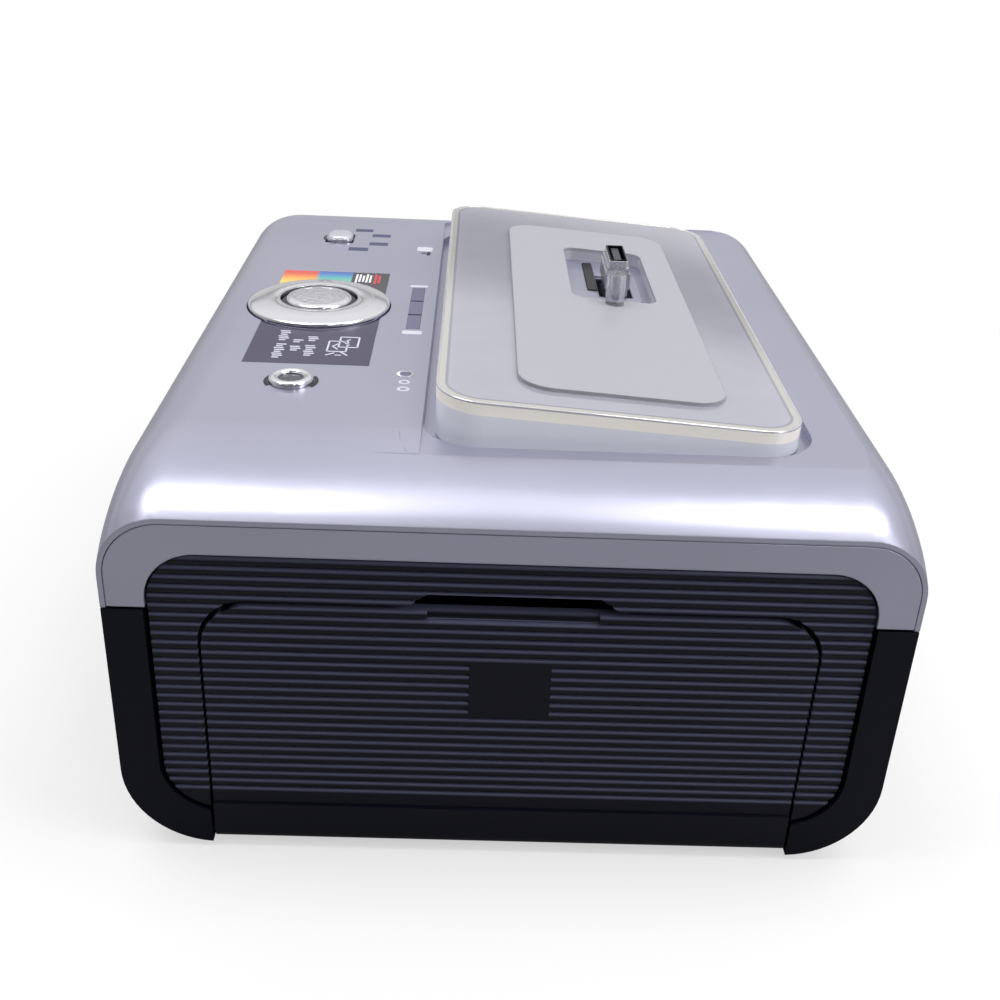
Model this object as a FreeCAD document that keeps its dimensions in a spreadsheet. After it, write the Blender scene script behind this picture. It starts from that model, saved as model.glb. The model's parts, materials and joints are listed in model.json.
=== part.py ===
import FreeCAD, Part
import math
import os
import re
import Sketcher

# Compact photo printer with a camera dock on its top.
# X runs across the paper door, Y from the paper door (front) to the rear paper slot, Z is up.
# The origin is on the table under the middle of the body. Lengths are in millimetres.

SIZES = {
    # outer body
    "body_width": 151.2,
    "body_depth": 190,
    "foot_height": 1.2,
    "seam_rise": 55.7,
    "edge_rise": 74.4,
    "deck_rise": 81.7,
    "wall": 2.4,
    "top_corner": 12,
    "base_corner": 18,
    "back_corner": 15,
    "back_drop": 7,
    "front_roll": 26,
    "roll_start_angle": 25,
    "seam_gap": 0.3,
    "overrun": 5,
    # side and end distances
    "panel_side_set": 8.5,
    "door_side_set": 9.1,
    "bay_side_gap": 0.4,
    "post_side_set": 10,
    "roller_side_set": 3,
    "film_side_set": 4,
    "cartridge_left_set": 4.5,
    "cartridge_right_set": 1.4,
    "bay_works_gap": 3.2,
    "gear_module_share": 0.0236741,
    "pinion_along_share": 0.8,
    "pinion_down_share": 0.6,
    # general fits
    "slide_gap": 0.35,
    "part_gap": 0.3,
    "shaft_gap": 0.06,
    # front bezel
    "rim": 1.0,
    "bezel_depth": 2.4,
    # ribbed front panel
    "panel_rise": 67.0,
    "panel_foot": 8.6,
    "panel_corner": 9.5,
    "panel_foot_corner": 11,
    "panel_gap": 0.8,
    "panel_setback": 0.5,
    "panel_depth": 4.3,
    "door_depth": 2.9,
    "rib_pitch": 2.032,
    "rib_depth": 0.7,
    "rib_valley": 1.25,
    "rib_low_rise": 13.4,
    "rib_count": 26,
    # paper door
    "door_rise": 56.4,
    "door_corner": 9,
    "door_side_gap": 0.6,
    "door_top_gap": 1.2,
    "door_bar_rise": 9.9,
    "door_low_rise": 0.6,
    "hinge_reach": 2.2,
    "door_pin_radius": 1.4,
    "door_pin_length": 3,
    "plate_width": 15.6,
    "plate_height": 12.8,
    "plate_centre_rise": 38.9,
    "scoop_half": 21,
    "scoop_flat_half": 16,
    "scoop_notch": 2.6,
    "scoop_drop": 3.6,
    # paper bay behind the door
    "bay_sheet": 1.6,
    "bay_height": 40,
    "bay_front_set": 4.8,
    "slot_height": 5.2,
    # rubber feet and screws
    "foot_radius": 6,
    "post_radius": 4.2,
    "post_front_set": 12.5,
    "post_back_set": 19,
    "screw_radius": 1.5,
    "screw_head_radius": 2.8,
    "screw_head_height": 2,
    "screw_length": 16,
    "screw_grip": 5,
    "air_half": 16,
    "air_width": 2.2,
    "air_pitch": 5,
    # cartridge door in the left wall
    "hatch_low": 27.6,
    "hatch_high": 53.8,
    "hatch_front": -30,
    "hatch_back": 40,
    "hatch_corner": 3,
    "hatch_thickness": 2.2,
    "hatch_grip_half": 9,
    "hatch_grip_height": 5,
    # control panel, places measured from the front face
    "ring_radius": 17,
    "ring_bore": 9.3,
    "ring_height": 1.9,
    "ring_skirt": 1.6,
    "ring_peg_radius": 1.5,
    "ring_peg_circle": 13,
    "cup_depth": 2.8,
    "cup_floor": 1.4,
    "key_radius": 8.9,
    "key_height": 2.3,
    "key_dome": 1.4,
    "key_stem_radius": 3,
    "key_crown_share": 0.72,
    "crown_rise_share": 0.75,
    "crown_run_share": 2,
    "lens_rise_share": 1.6,
    "size_corner_share": 0.6,
    "jack_floor": 1.0,
    "switch_travel": 0.6,
    "stem_gap": 0.75,
    "power_radius": 4.6,
    "power_height": 0.9,
    "power_lens_radius": 2.65,
    "lens_seat_height": 2.7,
    "power_slot_half": 5.5,
    "power_slot_width": 5.4,
    "size_half": 3.6,
    "size_depth": 8.4,
    "size_height": 0.8,
    "label_sheet": 0.3,
    "label_split_share": 0.5,
    "label_ring_gap": 0.5,
    "lamp_half": 1.6,
    "lamp_bar": 0.7,
    "lamp_window_count": 3,
    "near_lamp_half": 1.3,
    "far_lamp_half": 0.9,
    "lamp_depth": 1.3,
    # boards
    "board_sheet": 1.6,
    "panel_board_drop": 8.4,
    "switch_size": 6,
    "switch_height": 3,
    "boss_radius": 2.6,
    "boss_back_set": 7.8,
    # camera dock
    "dock_floor_drop": 0.76,
    "dock_floor_corner": 14,
    "moat_width": 2.4,
    "moat_depth": 2.0,
    "insert_corner": 9,
    "insert_left_rise": 89.7,
    "insert_right_rise": 84.6,
    "insert_plate": 2.6,
    "insert_skirt": 1.2,
    "stage_corner": 7,
    "stage_height": 0.8,
    "window_corner": 3,
    "wire_slot_width": 2.6,
    # dock connector
    "shroud_half_x": 2.7,
    "shroud_half_y": 7,
    "shroud_wall": 0.6,
    "shroud_rise": 91.2,
    "plug_rise": 93.2,
    "tongue_half": 0.9,
    "collar_height": 2.6,
    "collar_out": 0.35,
    "rock_gap": 1.6,
    "rock_drop": 15.6,
    "carriage_half_x": 8,
    "carriage_half_y": 12,
    "carriage_height": 5,
    "carriage_pin_radius": 1.8,
    "carriage_pin_length": 4,
    "lug_half": 5.4,
    "lug_drop": 3.6,
    "post_tip_radius": 2.2,
    "post_tip_height": 6.6,
    # printing works inside
    "path_height": 30,
    "works_sheet": 1.5,
    "works_floor": 5,
    "works_top": 58,
    "works_front": -29,
    "works_back": 66,
    "platen_y": 4,
    "platen_radius": 8.5,
    "shaft_radius": 2.5,
    "capstan_y": 46,
    "capstan_radius": 4,
    "pinch_radius": 3,
    "pinch_shaft_radius": 1.5,
    "paper_gap": 0.4,
    "pick_y": -46,
    "pick_radius": 8,
    "pick_half": 12,
    "pick_shaft_radius": 2,
    "pick_side_gap": 1.2,
    "supply_y": -16,
    "takeup_y": 26,
    "core_radius": 3.2,
    "film_radius": 7.4,
    "takeup_film_radius": 5.2,
    "cartridge_wall": 1.4,
    "cartridge_gap": 0.6,
    "cartridge_room_gap": 1.8,
    "cartridge_rail": 6,
    "head_half_y": 5,
    "head_height": 4.5,
    "head_gap": 0.9,
    "sink_height": 10,
    "sink_fin": 1.2,
    "sink_fin_count": 3,
    "head_pivot_y": 46,
    "head_pivot_height": 54.3,
    "head_arm": 4.5,
    "head_arm_sheet": 1.5,
    # gears
    "gear_gap": 1.4,
    "gear_width": 5,
    "platen_teeth": 20,
    "capstan_teeth": 18,
    "idler_teeth": 24,
    "takeup_teeth": 20,
    "pinion_teeth": 12,
    "motor_radius": 9.5,
    "motor_length": 18,
    "motor_shaft_radius": 1,
    # sockets in the right wall
    "port_board_height": 18,
    "port_shelf": 4,
    "port_board_depth": 12.4,
    "jack_half": 4.5,
    "jack_height": 11,
    "jack_bore": 3.2,
    "jack_pin_radius": 1.05,
    "socket_half": 6,
    "socket_height": 10.9,
    "host_half": 3.4,
    "host_height": 14,
    "port_wall": 1.0,
    "socket_blade_share": 0.42,
    "port_inset": 0.6,
}

# Places across the body, as shares of its width. Those with a side are measured from the middle.
ACROSS = {
    "foot_x": 0.3306878,
    "ring_x": -0.3082011,
    "size_x": -0.3148148,
    "label_left": -0.3875662,
    "label_right": -0.2070106,
    "lamp_x": -0.1534392,
    "panel_board_left": -0.4365079,
    "panel_board_right": -0.0992063,
    "dock_floor_left": -0.1488095,
    "insert_left": -0.1058201,
    "insert_right": 0.3703704,
    "stage_left": 0,
    "stage_right": 0.2777778,
    "window_left": 0.0939154,
    "window_right": 0.228836,
    "wire_slot_x": 0.1441799,
    "plug_x": 0.1732805,
    "post_tip_x": 0.1587302,
    "works_half": 0.3769841,
}

# Places along the body, as shares of its depth. Each name in set is measured from the front face,
# the others from the middle.
ALONG = {
    "foot_y": 0.3789474,
    "ring_set": 0.5105263,
    "power_set": 0.2526316,
    "size_set": 0.8184211,
    "label_set": 0.3042105,
    "strip_back_set": 0.6515789,
    "lamp_low_set": 0.4315789,
    "lamp_high_set": 0.5921053,
    "near_lamp_set": 0.2842105,
    "far_lamp_set": 0.7557895,
    "panel_board_front": -0.3263158,
    "panel_board_back": 0.3684211,
    "dock_floor_set": 0.0526316,
    "dock_floor_back_set": 0.9473684,
    "insert_set": 0.1184211,
    "insert_back_set": 0.8842105,
    "stage_set": 0.1657895,
    "stage_back_set": 0.7894737,
    "window_set": 0.4778947,
    "window_back_set": 0.6947368,
    "wire_slot_set": 0.5631579,
    "wire_slot_back_set": 0.6842105,
    "plug_set": 0.5868421,
    "post_tip_set": 0.4631579,
    "port_board_front": -0.4,
    "port_board_back": -0.1894737,
    "jack_y": -0.2315789,
    "socket_y": -0.3052632,
    "host_y": -0.3684211,
}

# Places worked out from the sizes above, each in words of the same kind.
PLACES = {
    "half": "(body_width / 2)",
    "front": "(-body_depth / 2)",
    "back": "(body_depth / 2)",
    "seam": "(foot_height + seam_rise)",
    "edge": "(foot_height + edge_rise)",
    "deck": "(foot_height + deck_rise)",
    "floor_top": "(foot_height + wall)",
    "panel_top": "(foot_height + panel_rise)",
    "panel_face": "(front + panel_setback)",
    "panel_rear": "(front + panel_setback + panel_depth)",
    "door_rear": "(front + panel_setback + door_depth)",
    "door_top": "(foot_height + door_rise)",
    "door_bar_top": "(foot_height + door_bar_rise)",
    "hinge_y": "(front + hinge_reach)",
    "hinge_z": "(foot_height + door_low_rise + hinge_reach)",
    "rib_low": "(foot_height + rib_low_rise)",
    "bay_front": "(front + bay_front_set)",
    "bay_back": "(works_front - bay_works_gap)",
    "bay_floor": "(floor_top + bay_sheet)",
    "bay_top": "(bay_floor + bay_height)",
    "post_front_y": "(front + post_front_set)",
    "post_back_y": "(back - post_back_set)",
    "screw_head_top": "(seam - screw_grip)",
    "pin_room": "(door_pin_length + overrun)",
    "hatch_axis_x": "(-half + hinge_reach)",
    "hatch_axis_z": "(hatch_low + part_gap + hinge_reach)",
    "ring_y": "(front + ring_set)",
    "power_y": "(front + power_set)",
    "size_y": "(front + size_set)",
    "board_top": "(deck - panel_board_drop)",
    "stem_low": "(board_top + switch_height + stem_gap)",
    "dock_floor": "(deck - dock_floor_drop)",
    "insert_front": "(front + insert_set)",
    "insert_back": "(front + insert_back_set)",
    "insert_left_top": "(foot_height + insert_left_rise)",
    "insert_right_top": "(foot_height + insert_right_rise)",
    "plug_y": "(front + plug_set)",
    "rock_z": "(foot_height + shroud_rise - rock_drop)",
    "platen_z": "(path_height - platen_radius)",
    "capstan_z": "(path_height - capstan_radius)",
    "pinch_z": "(path_height + pinch_radius + paper_gap)",
    "pick_z": "(bay_top + pick_radius - bay_sheet)",
    "panel_half": "(half - panel_side_set)",
    "door_half": "(panel_half - door_side_set)",
    "bay_half": "(door_half - bay_side_gap)",
    "post_x": "(half - post_side_set)",
    "roller_half": "(works_half - roller_side_set)",
    "slot_half": "(works_half - roller_side_set)",
    "film_half": "(works_half - film_side_set)",
    "cartridge_left": "(half - cartridge_left_set)",
    "cartridge_right": "(works_half - cartridge_right_set)",
    "gear_x": "(works_half + works_sheet + gear_gap)",
    # the idler meshes with both rollers' gears, and the take-up gear and motor pinion mesh in turn
    "span_y": "(capstan_y - platen_y)",
    "span_z": "(capstan_z - platen_z)",
    "roller_span": "sqrt(span_y ^ 2 + span_z ^ 2)",
    "gear_module": "(roller_span * gear_module_share)",
    "idler_reach": "(gear_module * (idler_teeth + platen_teeth) / 2)",
    "idler_reach_back": "(gear_module * (idler_teeth + capstan_teeth) / 2)",
    "idler_along": "((idler_reach ^ 2 - idler_reach_back ^ 2 + roller_span ^ 2) / (2 * roller_span))",
    "idler_off": "sqrt(idler_reach ^ 2 - idler_along ^ 2)",
    "idler_y": "(platen_y + (idler_along * span_y + idler_off * span_z) / roller_span)",
    "idler_z": "(platen_z + (idler_along * span_z - idler_off * span_y) / roller_span)",
    "takeup_reach": "(gear_module * (idler_teeth + takeup_teeth) / 2)",
    "spool_height": "(idler_z + sqrt(takeup_reach ^ 2 - (takeup_y - idler_y) ^ 2))",
    "pinion_reach": "(gear_module * (capstan_teeth + pinion_teeth) / 2)",
    "pinion_y": "(capstan_y + pinion_reach * pinion_along_share)",
    "pinion_z": "(capstan_z - pinion_reach * pinion_down_share)",
    "head_low": "(path_height + head_gap)",
    "slot_low": "(path_height - slot_height / 2)",
    "slot_high": "(path_height + slot_height / 2)",
    "port_x": "(half - port_inset)",
    "port_back_x": "(half - wall - port_board_depth)",
    "port_top": "(port_board_height + board_sheet)",
}

doc = FreeCAD.newDocument("CompactPhotoPrinter")
sheet = doc.addObject("Spreadsheet::Sheet", "Dims")
CELLS = {word: str(number) for word, number in SIZES.items()}
CELLS.update((word, "=body_width * (%s)" % share) for word, share in ACROSS.items())
CELLS.update((word, "=body_depth * (%s)" % share) for word, share in ALONG.items())
CELLS.update((word, "=" + text) for word, text in PLACES.items())
for row, (word, content) in enumerate(CELLS.items(), 1):
    sheet.set("A%d" % row, word)
    sheet.setAlias("B%d" % row, word)
for row, content in enumerate(CELLS.values(), 1):
    sheet.set("B%d" % row, content)
doc.recompute()

WORD = re.compile(r"[a-z_]+")
NODES = {}
UP = FreeCAD.Vector(0, 0, 1)
AXES = {"X": FreeCAD.Vector(1, 0, 0), "Y": FreeCAD.Vector(0, 1, 0), "Z": UP}


def formula(text):
    """Turn words for sizes and places into an expression that reads the sheet."""
    return WORD.sub(lambda match: ("Dims." if match.group(0) in CELLS else "") + match.group(0), str(text))


def size(text):
    """The present value of a formula, as a plain number."""
    found = sheet.evalExpression(formula(text))
    return float(getattr(found, "Value", found))


def bind(item, place, text):
    item.setExpression(place, formula(text))


def node(label, item):
    """Name a finished piece, so that it is written as a file of that name."""
    item.Label = label
    NODES[label] = item
    return item


def place(item, x, y, z):
    for letter, text in (("x", x), ("y", y), ("z", z)):
        bind(item, "Placement.Base." + letter, text)


def box(name, low, high):
    """A block between two corners, each given as three formulas."""
    item = doc.addObject("Part::Box", name)
    for side, start, end in zip(("Length", "Width", "Height"), low, high):
        bind(item, side, "(%s) - (%s)" % (end, start))
    place(item, *low)
    return item


def rod(name, axis, start, radius, length):
    """A round bar that runs from its start along the plus direction of an axis."""
    item = doc.addObject("Part::Cylinder", name)
    bind(item, "Radius", radius)
    bind(item, "Height", length)
    item.Placement.Rotation = FreeCAD.Rotation(UP, AXES[axis])
    place(item, *start)
    return item


def fuse(name, items):
    item = doc.addObject("Part::MultiFuse", name)
    item.Shapes = items
    return item


def cut(name, base, tools):
    item = doc.addObject("Part::Cut", name)
    item.Base = base
    item.Tool = tools[0] if len(tools) == 1 else fuse(name + "Tools", tools)
    return item


def common(name, items):
    item = doc.addObject("Part::MultiCommon", name)
    item.Shapes = items
    return item


def group(name, items):
    """Separate solids that are one named piece, such as a set of screws."""
    item = doc.addObject("Part::Compound", name)
    item.Links = items
    return item


def new_body(name):
    return doc.addObject("PartDesign::Body", name)


def sketch_on(body, name, plane, at):
    """A sketch on an origin plane of its body, moved along the plane's own axis to a place."""
    sketch = body.newObject("Sketcher::SketchObject", name)
    planes = {item.Role: item for item in body.Origin.OriginFeatures}
    sketch.AttachmentSupport = [(planes[plane + "_Plane"], "")]
    sketch.MapMode = "FlatFace"
    sign = "-" if plane == "XZ" else ""
    bind(sketch, "AttachmentOffset.Base.z", "%s(%s)" % (sign, at))
    return sketch


def limit(sketch, kind, parts, text):
    """Add one dimension to a sketch and tie it to a formula."""
    number = size(text)
    index = sketch.addConstraint(Sketcher.Constraint(kind, *parts, number))
    sketch.setExpression("Constraints[%d]" % index, formula(text))


def pin_point(sketch, item, corner, x, y):
    """Hold one point of a sketch at two formulas."""
    for kind, text, axis in (("DistanceX", x, -2), ("DistanceY", y, -1)):
        if size(text) == 0:
            sketch.addConstraint(Sketcher.Constraint("PointOnObject", item, corner, axis))
        else:
            limit(sketch, kind, (item, corner), text)


def outline(sketch, corners):
    """Draw a closed outline with a round at each corner that has a radius."""
    points = [FreeCAD.Vector(size(x), size(y), 0) for x, y, _ in corners]
    rounds = [size(radius) for _, _, radius in corners]
    count = len(corners)
    ends = []
    for index, point in enumerate(points):
        before = (points[index - 1] - point).normalize()
        after = (points[(index + 1) % count] - point).normalize()
        turn = before.getAngle(after)
        reach = rounds[index] / math.tan(turn / 2) if rounds[index] else 0
        ends.append((point + before * reach, point + after * reach, before, after, turn))
    lines = []
    for index in range(count):
        start = ends[index][1]
        finish = ends[(index + 1) % count][0]
        lines.append(sketch.addGeometry(Part.LineSegment(start, finish), False))
    for index, (x, y, radius) in enumerate(corners):
        into = lines[index - 1]
        out = lines[index]
        if not rounds[index]:
            sketch.addConstraint(Sketcher.Constraint("Coincident", into, 2, out, 1))
            pin_point(sketch, out, 1, x, y)
            continue
        first, last, before, after, turn = ends[index]
        middle = (before + after).normalize()
        centre = points[index] + middle * (rounds[index] / math.sin(turn / 2))
        bend = Part.Arc(first, centre - middle * rounds[index], last)
        arc = sketch.addGeometry(bend, False)
        left_turn = before.cross(after).z < 0
        begin, end = (1, 2) if left_turn else (2, 1)
        sketch.addConstraint(Sketcher.Constraint("Tangent", into, 2, arc, begin))
        sketch.addConstraint(Sketcher.Constraint("Tangent", arc, end, out, 1))
        limit(sketch, "Radius", (arc,), radius)
        tip = sketch.addGeometry(Part.Point(points[index]), True)
        sketch.addConstraint(Sketcher.Constraint("PointOnObject", tip, 1, into))
        sketch.addConstraint(Sketcher.Constraint("PointOnObject", tip, 1, out))
        pin_point(sketch, tip, 1, x, y)


def disc(sketch, x, y, radius):
    circle = sketch.addGeometry(Part.Circle(FreeCAD.Vector(size(x), size(y), 0), UP, size(radius)), False)
    pin_point(sketch, circle, 3, x, y)
    limit(sketch, "Radius", (circle,), radius)


def rectangle(left, low, right, high, radius="0"):
    """Corners of an upright rectangle, turned anticlockwise."""
    return [(left, low, radius), (right, low, radius), (right, high, radius), (left, high, radius)]


def prism(body, name, plane, start, end, corners=None, circle=None, remove=False):
    """Add or remove a straight prism of an outline, or of a circle, between two places."""
    from_end = remove != (plane == "XZ")
    sketch = sketch_on(body, name + "Sketch", plane, end if from_end else start)
    if circle:
        disc(sketch, *circle)
    else:
        outline(sketch, corners)
    before = 0
    if remove:
        doc.recompute()
        before = body.Tip.Shape.Volume
    feature = body.newObject("PartDesign::Pocket" if remove else "PartDesign::Pad", name)
    feature.Profile = sketch
    bind(feature, "Length", "(%s) - (%s)" % (end, start))
    if remove:
        doc.recompute()
        if not feature.Shape.Volume < before:
            raise RuntimeError(name + " removes nothing")
    return feature


def loft(body, name, plane, sections, remove=False):
    """Add or remove a smooth loft through outlines that each have a place."""
    sketches = []
    for index, (at, corners) in enumerate(sections):
        sketch = sketch_on(body, "%sSketch%d" % (name, index), plane, at)
        outline(sketch, corners)
        sketches.append(sketch)
    doc.recompute()
    kind = "PartDesign::SubtractiveLoft" if remove else "PartDesign::AdditiveLoft"
    feature = body.newObject(kind, name)
    feature.Profile = sketches[0]
    feature.Sections = sketches[1:]
    return feature


# Shares of the way round a roll at which its cross sections stand.
ROLL_SHARES = (0, 0.2, 0.4, 0.6, 0.8, 1)


def roll_angle(share):
    return "(roll_start_angle + %s * (90 - roll_start_angle))" % share


def arch(half_width, low, high, radius):
    """Corners of an upright arch that is open to a flat foot."""
    left = "-(%s)" % half_width
    return [(left, low, "0"), (half_width, low, "0"), (half_width, high, radius), (left, high, radius)]


def keel(half_width, low, high, radius):
    """Corners of a tub with rounded lower edges."""
    left = "-(%s)" % half_width
    return [(left, low, radius), (half_width, low, radius), (half_width, high, "0"), (left, high, "0")]


def front_section(share, inset, low):
    angle = roll_angle(share)
    at = "front + front_roll * (1 - cos(%s) / cos(roll_start_angle))" % angle
    drop = "(deck - edge) * (1 - sin(%s)) / (1 - sin(roll_start_angle))" % angle
    high = "deck - %s - %s" % (inset, drop)
    return at, arch("half - " + inset, low, high, "top_corner - " + inset)


def back_section(share, inset, low):
    turn = "(90 * %s)" % share
    at = "back - back_corner + (back_corner - %s) * sin(%s)" % (inset, turn)
    wide = "half - %s - (back_corner - %s) * (1 - cos(%s))" % (inset, inset, turn)
    high = "deck - %s - back_drop * (1 - cos(%s))" % (inset, turn)
    return at, arch(wide, low, high, "top_corner - " + inset)


def base_back_section(share, inset):
    turn = "(90 * %s)" % share
    at = "back - back_corner + (back_corner - %s) * sin(%s)" % (inset, turn)
    wide = "half - %s - (back_corner - %s) * (1 - cos(%s))" % (inset, inset, turn)
    low = "foot_height + %s + back_drop * (1 - cos(%s))" % (inset, turn)
    high = "seam + overrun" if inset == "wall" else "seam - seam_gap"
    return at, keel(wide, low, high, "base_corner - " + inset)


def slope_cut(body, name, left_high, right_high):
    """Take away all that lies above a line that falls across X."""
    left = "insert_left - overrun"
    right = "insert_right + overrun"
    fall = "(insert_left_top - insert_right_top) / (insert_right - insert_left) * overrun"
    corners = [(left, left_high + " + " + fall, "0"), (right, right_high + " - " + fall, "0"),
               (right, "insert_left_top + 2 * overrun", "0"), (left, "insert_left_top + 2 * overrun", "0")]
    prism(body, name, "XZ", "insert_front - overrun", "insert_back + overrun", corners, remove=True)


def make_top_shell():
    body = new_body("TopShellBody")
    loft(body, "FrontRoll", "XZ", [front_section(share, "0", "seam") for share in ROLL_SHARES])
    prism(body, "Middle", "XZ", "front + front_roll", "back - back_corner",
          arch("half", "seam", "deck", "top_corner"))
    loft(body, "BackRoll", "XZ", [back_section(share, "0", "seam") for share in ROLL_SHARES])
    # the dished dock floor, which cuts a smile shaped crease into the front roll
    prism(body, "DockFloor", "XY", "dock_floor", "deck + overrun",
          rectangle("dock_floor_left", "front + dock_floor_set", "half + overrun",
                    "front + dock_floor_back_set", "dock_floor_corner"), remove=True)
    # hollow inside
    low = "seam - overrun"
    loft(body, "FrontHollow", "XZ", [front_section(share, "wall", low) for share in ROLL_SHARES],
         remove=True)
    prism(body, "MiddleHollow", "XZ", "front + front_roll", "back - back_corner",
          arch("half - wall", low, "deck - wall", "top_corner - wall"), remove=True)
    loft(body, "BackHollow", "XZ", [back_section(share, "wall", low) for share in ROLL_SHARES],
         remove=True)
    prism(body, "BezelSeat", "XZ", "front", "front + bezel_depth",
          arch("half - rim", low, "edge - rim", "top_corner - rim"), remove=True)
    # raised block under the camera insert, hollow inside, with the moat round it
    under = "insert_skirt + part_gap / 2"
    prism(body, "DockBlock", "XY", "deck - wall - wall / 2", "insert_left_top",
          rectangle("insert_left + " + under, "insert_front + " + under, "insert_right - (%s)" % under,
                    "insert_back - (%s)" % under, "insert_corner - insert_skirt"))
    slope_cut(body, "DockSlope", "insert_left_top - insert_plate", "insert_right_top - insert_plate")
    bed = "moat_width + wall / 2"
    prism(body, "MoatBed", "XY", "dock_floor - moat_depth - wall / 2", "deck - wall / 2",
          rectangle("insert_left - (%s)" % bed, "insert_front - (%s)" % bed, "insert_right + " + bed,
                    "insert_back + " + bed, "insert_corner + moat_width"))
    thick = "insert_skirt + wall"
    prism(body, "DockHollow", "XY", "seam", "insert_right_top - insert_plate - wall",
          rectangle("insert_left + " + thick, "insert_front + " + thick, "insert_right - (%s)" % thick,
                    "insert_back - (%s)" % thick, "insert_corner - insert_skirt"), remove=True)
    prism(body, "PlugHole", "XY", "seam", "insert_left_top",
          rectangle("plug_x - shroud_half_x - rock_gap", "plug_y - shroud_half_y - rock_gap",
                    "plug_x + shroud_half_x + rock_gap", "plug_y + shroud_half_y + rock_gap"), remove=True)
    prism(body, "WireSlot", "XY", "insert_right_top - insert_plate - wall / 2", "insert_left_top",
          rectangle("wire_slot_x - wire_slot_width", "front + wire_slot_set",
                    "wire_slot_x", "front + wire_slot_back_set"), remove=True)
    return body


PEG_PLACES = [("ring_x + ring_peg_circle", "ring_y"), ("ring_x", "ring_y + ring_peg_circle"),
              ("ring_x - ring_peg_circle", "ring_y"), ("ring_x", "ring_y - ring_peg_circle")]

BOARD_POSTS = [(x, y) for x in ("panel_board_left + 2 * boss_radius", "panel_board_right - 2 * boss_radius")
               for y in ("panel_board_front + 2 * boss_radius", "panel_board_back - 2 * boss_radius")]

CASE_POSTS = [(x, y) for x in ("-post_x", "post_x") for y in ("post_front_y", "post_back_y")]


def make_moat():
    """The ring shaped groove that frames the camera insert."""
    body = new_body("MoatBody")
    out = "moat_width"
    prism(body, "MoatOuter", "XY", "dock_floor - moat_depth", "deck + overrun",
          rectangle("insert_left - " + out, "insert_front - " + out, "insert_right + " + out,
                    "insert_back + " + out, "insert_corner + " + out))
    under = "insert_skirt + part_gap / 2"
    prism(body, "MoatInner", "XY", "dock_floor - moat_depth - overrun", "deck + 2 * overrun",
          rectangle("insert_left + " + under, "insert_front + " + under, "insert_right - (%s)" % under,
                    "insert_back - (%s)" % under, "insert_corner - insert_skirt"), remove=True)
    return body


def panel_cutters():
    """Holes and seats in the control panel for rings, keys, labels and lamps."""
    tools = []
    top = "deck + overrun"
    tools.append(rod("RingSeat", "Z", ("ring_x", "ring_y", "deck - cup_depth"), "ring_radius + slide_gap",
                     "cup_depth + overrun"))
    tools.append(rod("KeyStemHole", "Z", ("ring_x", "ring_y", "seam"), "key_stem_radius + slide_gap",
                     "deck - seam"))
    for index, (across, along) in enumerate(PEG_PLACES):
        tools.append(rod("PegHole%d" % index, "Z", (across, along, "seam"), "ring_peg_radius + slide_gap",
                         "deck - seam"))
    tools.append(rod("PowerHole", "Z", ("ring_x", "power_y", "seam"), "power_radius + slide_gap",
                     "deck - seam + overrun"))
    tools.append(box("PowerScoop", ("ring_x - power_slot_half", "power_y - power_slot_width / 2",
                                    "deck - power_height"),
                     ("ring_x + power_slot_half", "power_y + power_slot_width / 2", top)))
    tools.append(box("SizeHole", ("size_x - size_half - slide_gap", "size_y - size_depth / 2 - slide_gap",
                                  "seam"),
                     ("size_x + size_half + slide_gap", "size_y + size_depth / 2 + slide_gap", top)))
    tools.append(box("LabelSeat", ("label_left", "front + label_set", "deck - label_sheet"),
                     ("label_right", "front + strip_back_set", top)))
    tools.append(box("LampSlot", ("lamp_x - lamp_half", "front + lamp_low_set", "deck - wall - overrun"),
                     ("lamp_x + lamp_half", "front + lamp_high_set", top)))
    tools.append(rod("NearLampHole", "Z", ("lamp_x", "front + near_lamp_set", "deck - wall - overrun"),
                     "near_lamp_half", "wall + 2 * overrun"))
    tools.append(rod("FarLampHole", "Z", ("lamp_x", "front + far_lamp_set", "deck - wall - overrun"),
                     "far_lamp_half", "wall + 2 * overrun"))
    return tools


def top_shell_bosses():
    """The cup under the ring, the posts of the panel board and the bosses that take the case screws."""
    parts = [rod("RingCup", "Z", ("ring_x", "ring_y", "deck - cup_depth - cup_floor"),
                 "ring_radius + slide_gap + cup_floor", "cup_depth + cup_floor - wall / 2")]
    for index, (x, y) in enumerate(BOARD_POSTS):
        parts.append(rod("BoardPost%d" % index, "Z", (x, y, "board_top"), "boss_radius",
                         "deck - wall / 2 - board_top"))
    return parts


def screw_bosses():
    parts = []
    for index, (x, y) in enumerate(CASE_POSTS):
        parts.append(rod("ScrewBoss%d" % index, "Z", (x, y, "seam - seam_gap"), "post_radius",
                         "deck - seam"))
    outer = new_body("BossRoom")
    loft(outer, "RoomFront", "XZ", [front_section(share, "wall / 2",
                                                  "seam - seam_gap") for share in ROLL_SHARES])
    prism(outer, "RoomMiddle", "XZ", "front + front_roll", "back - back_corner",
          arch("half - wall / 2", "seam - seam_gap", "deck - wall / 2", "top_corner - wall / 2"))
    loft(outer, "RoomBack", "XZ", [back_section(share, "wall / 2",
                                                "seam - seam_gap") for share in ROLL_SHARES])
    return common("ScrewBosses", [fuse("ScrewBossRods", parts), outer])


def build_top_shell():
    shell = make_top_shell()
    bodied = fuse("ShellWithBosses", [shell] + top_shell_bosses() + [screw_bosses()])
    holes = []
    for index, (x, y) in enumerate(CASE_POSTS):
        holes.append(rod("ScrewHole%d" % index, "Z", (x, y, "seam - overrun"), "screw_radius",
                         "screw_length - screw_grip + overrun"))
    node("top_shell", cut("TopShell", bodied, [make_moat()] + panel_cutters() + holes))


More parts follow.
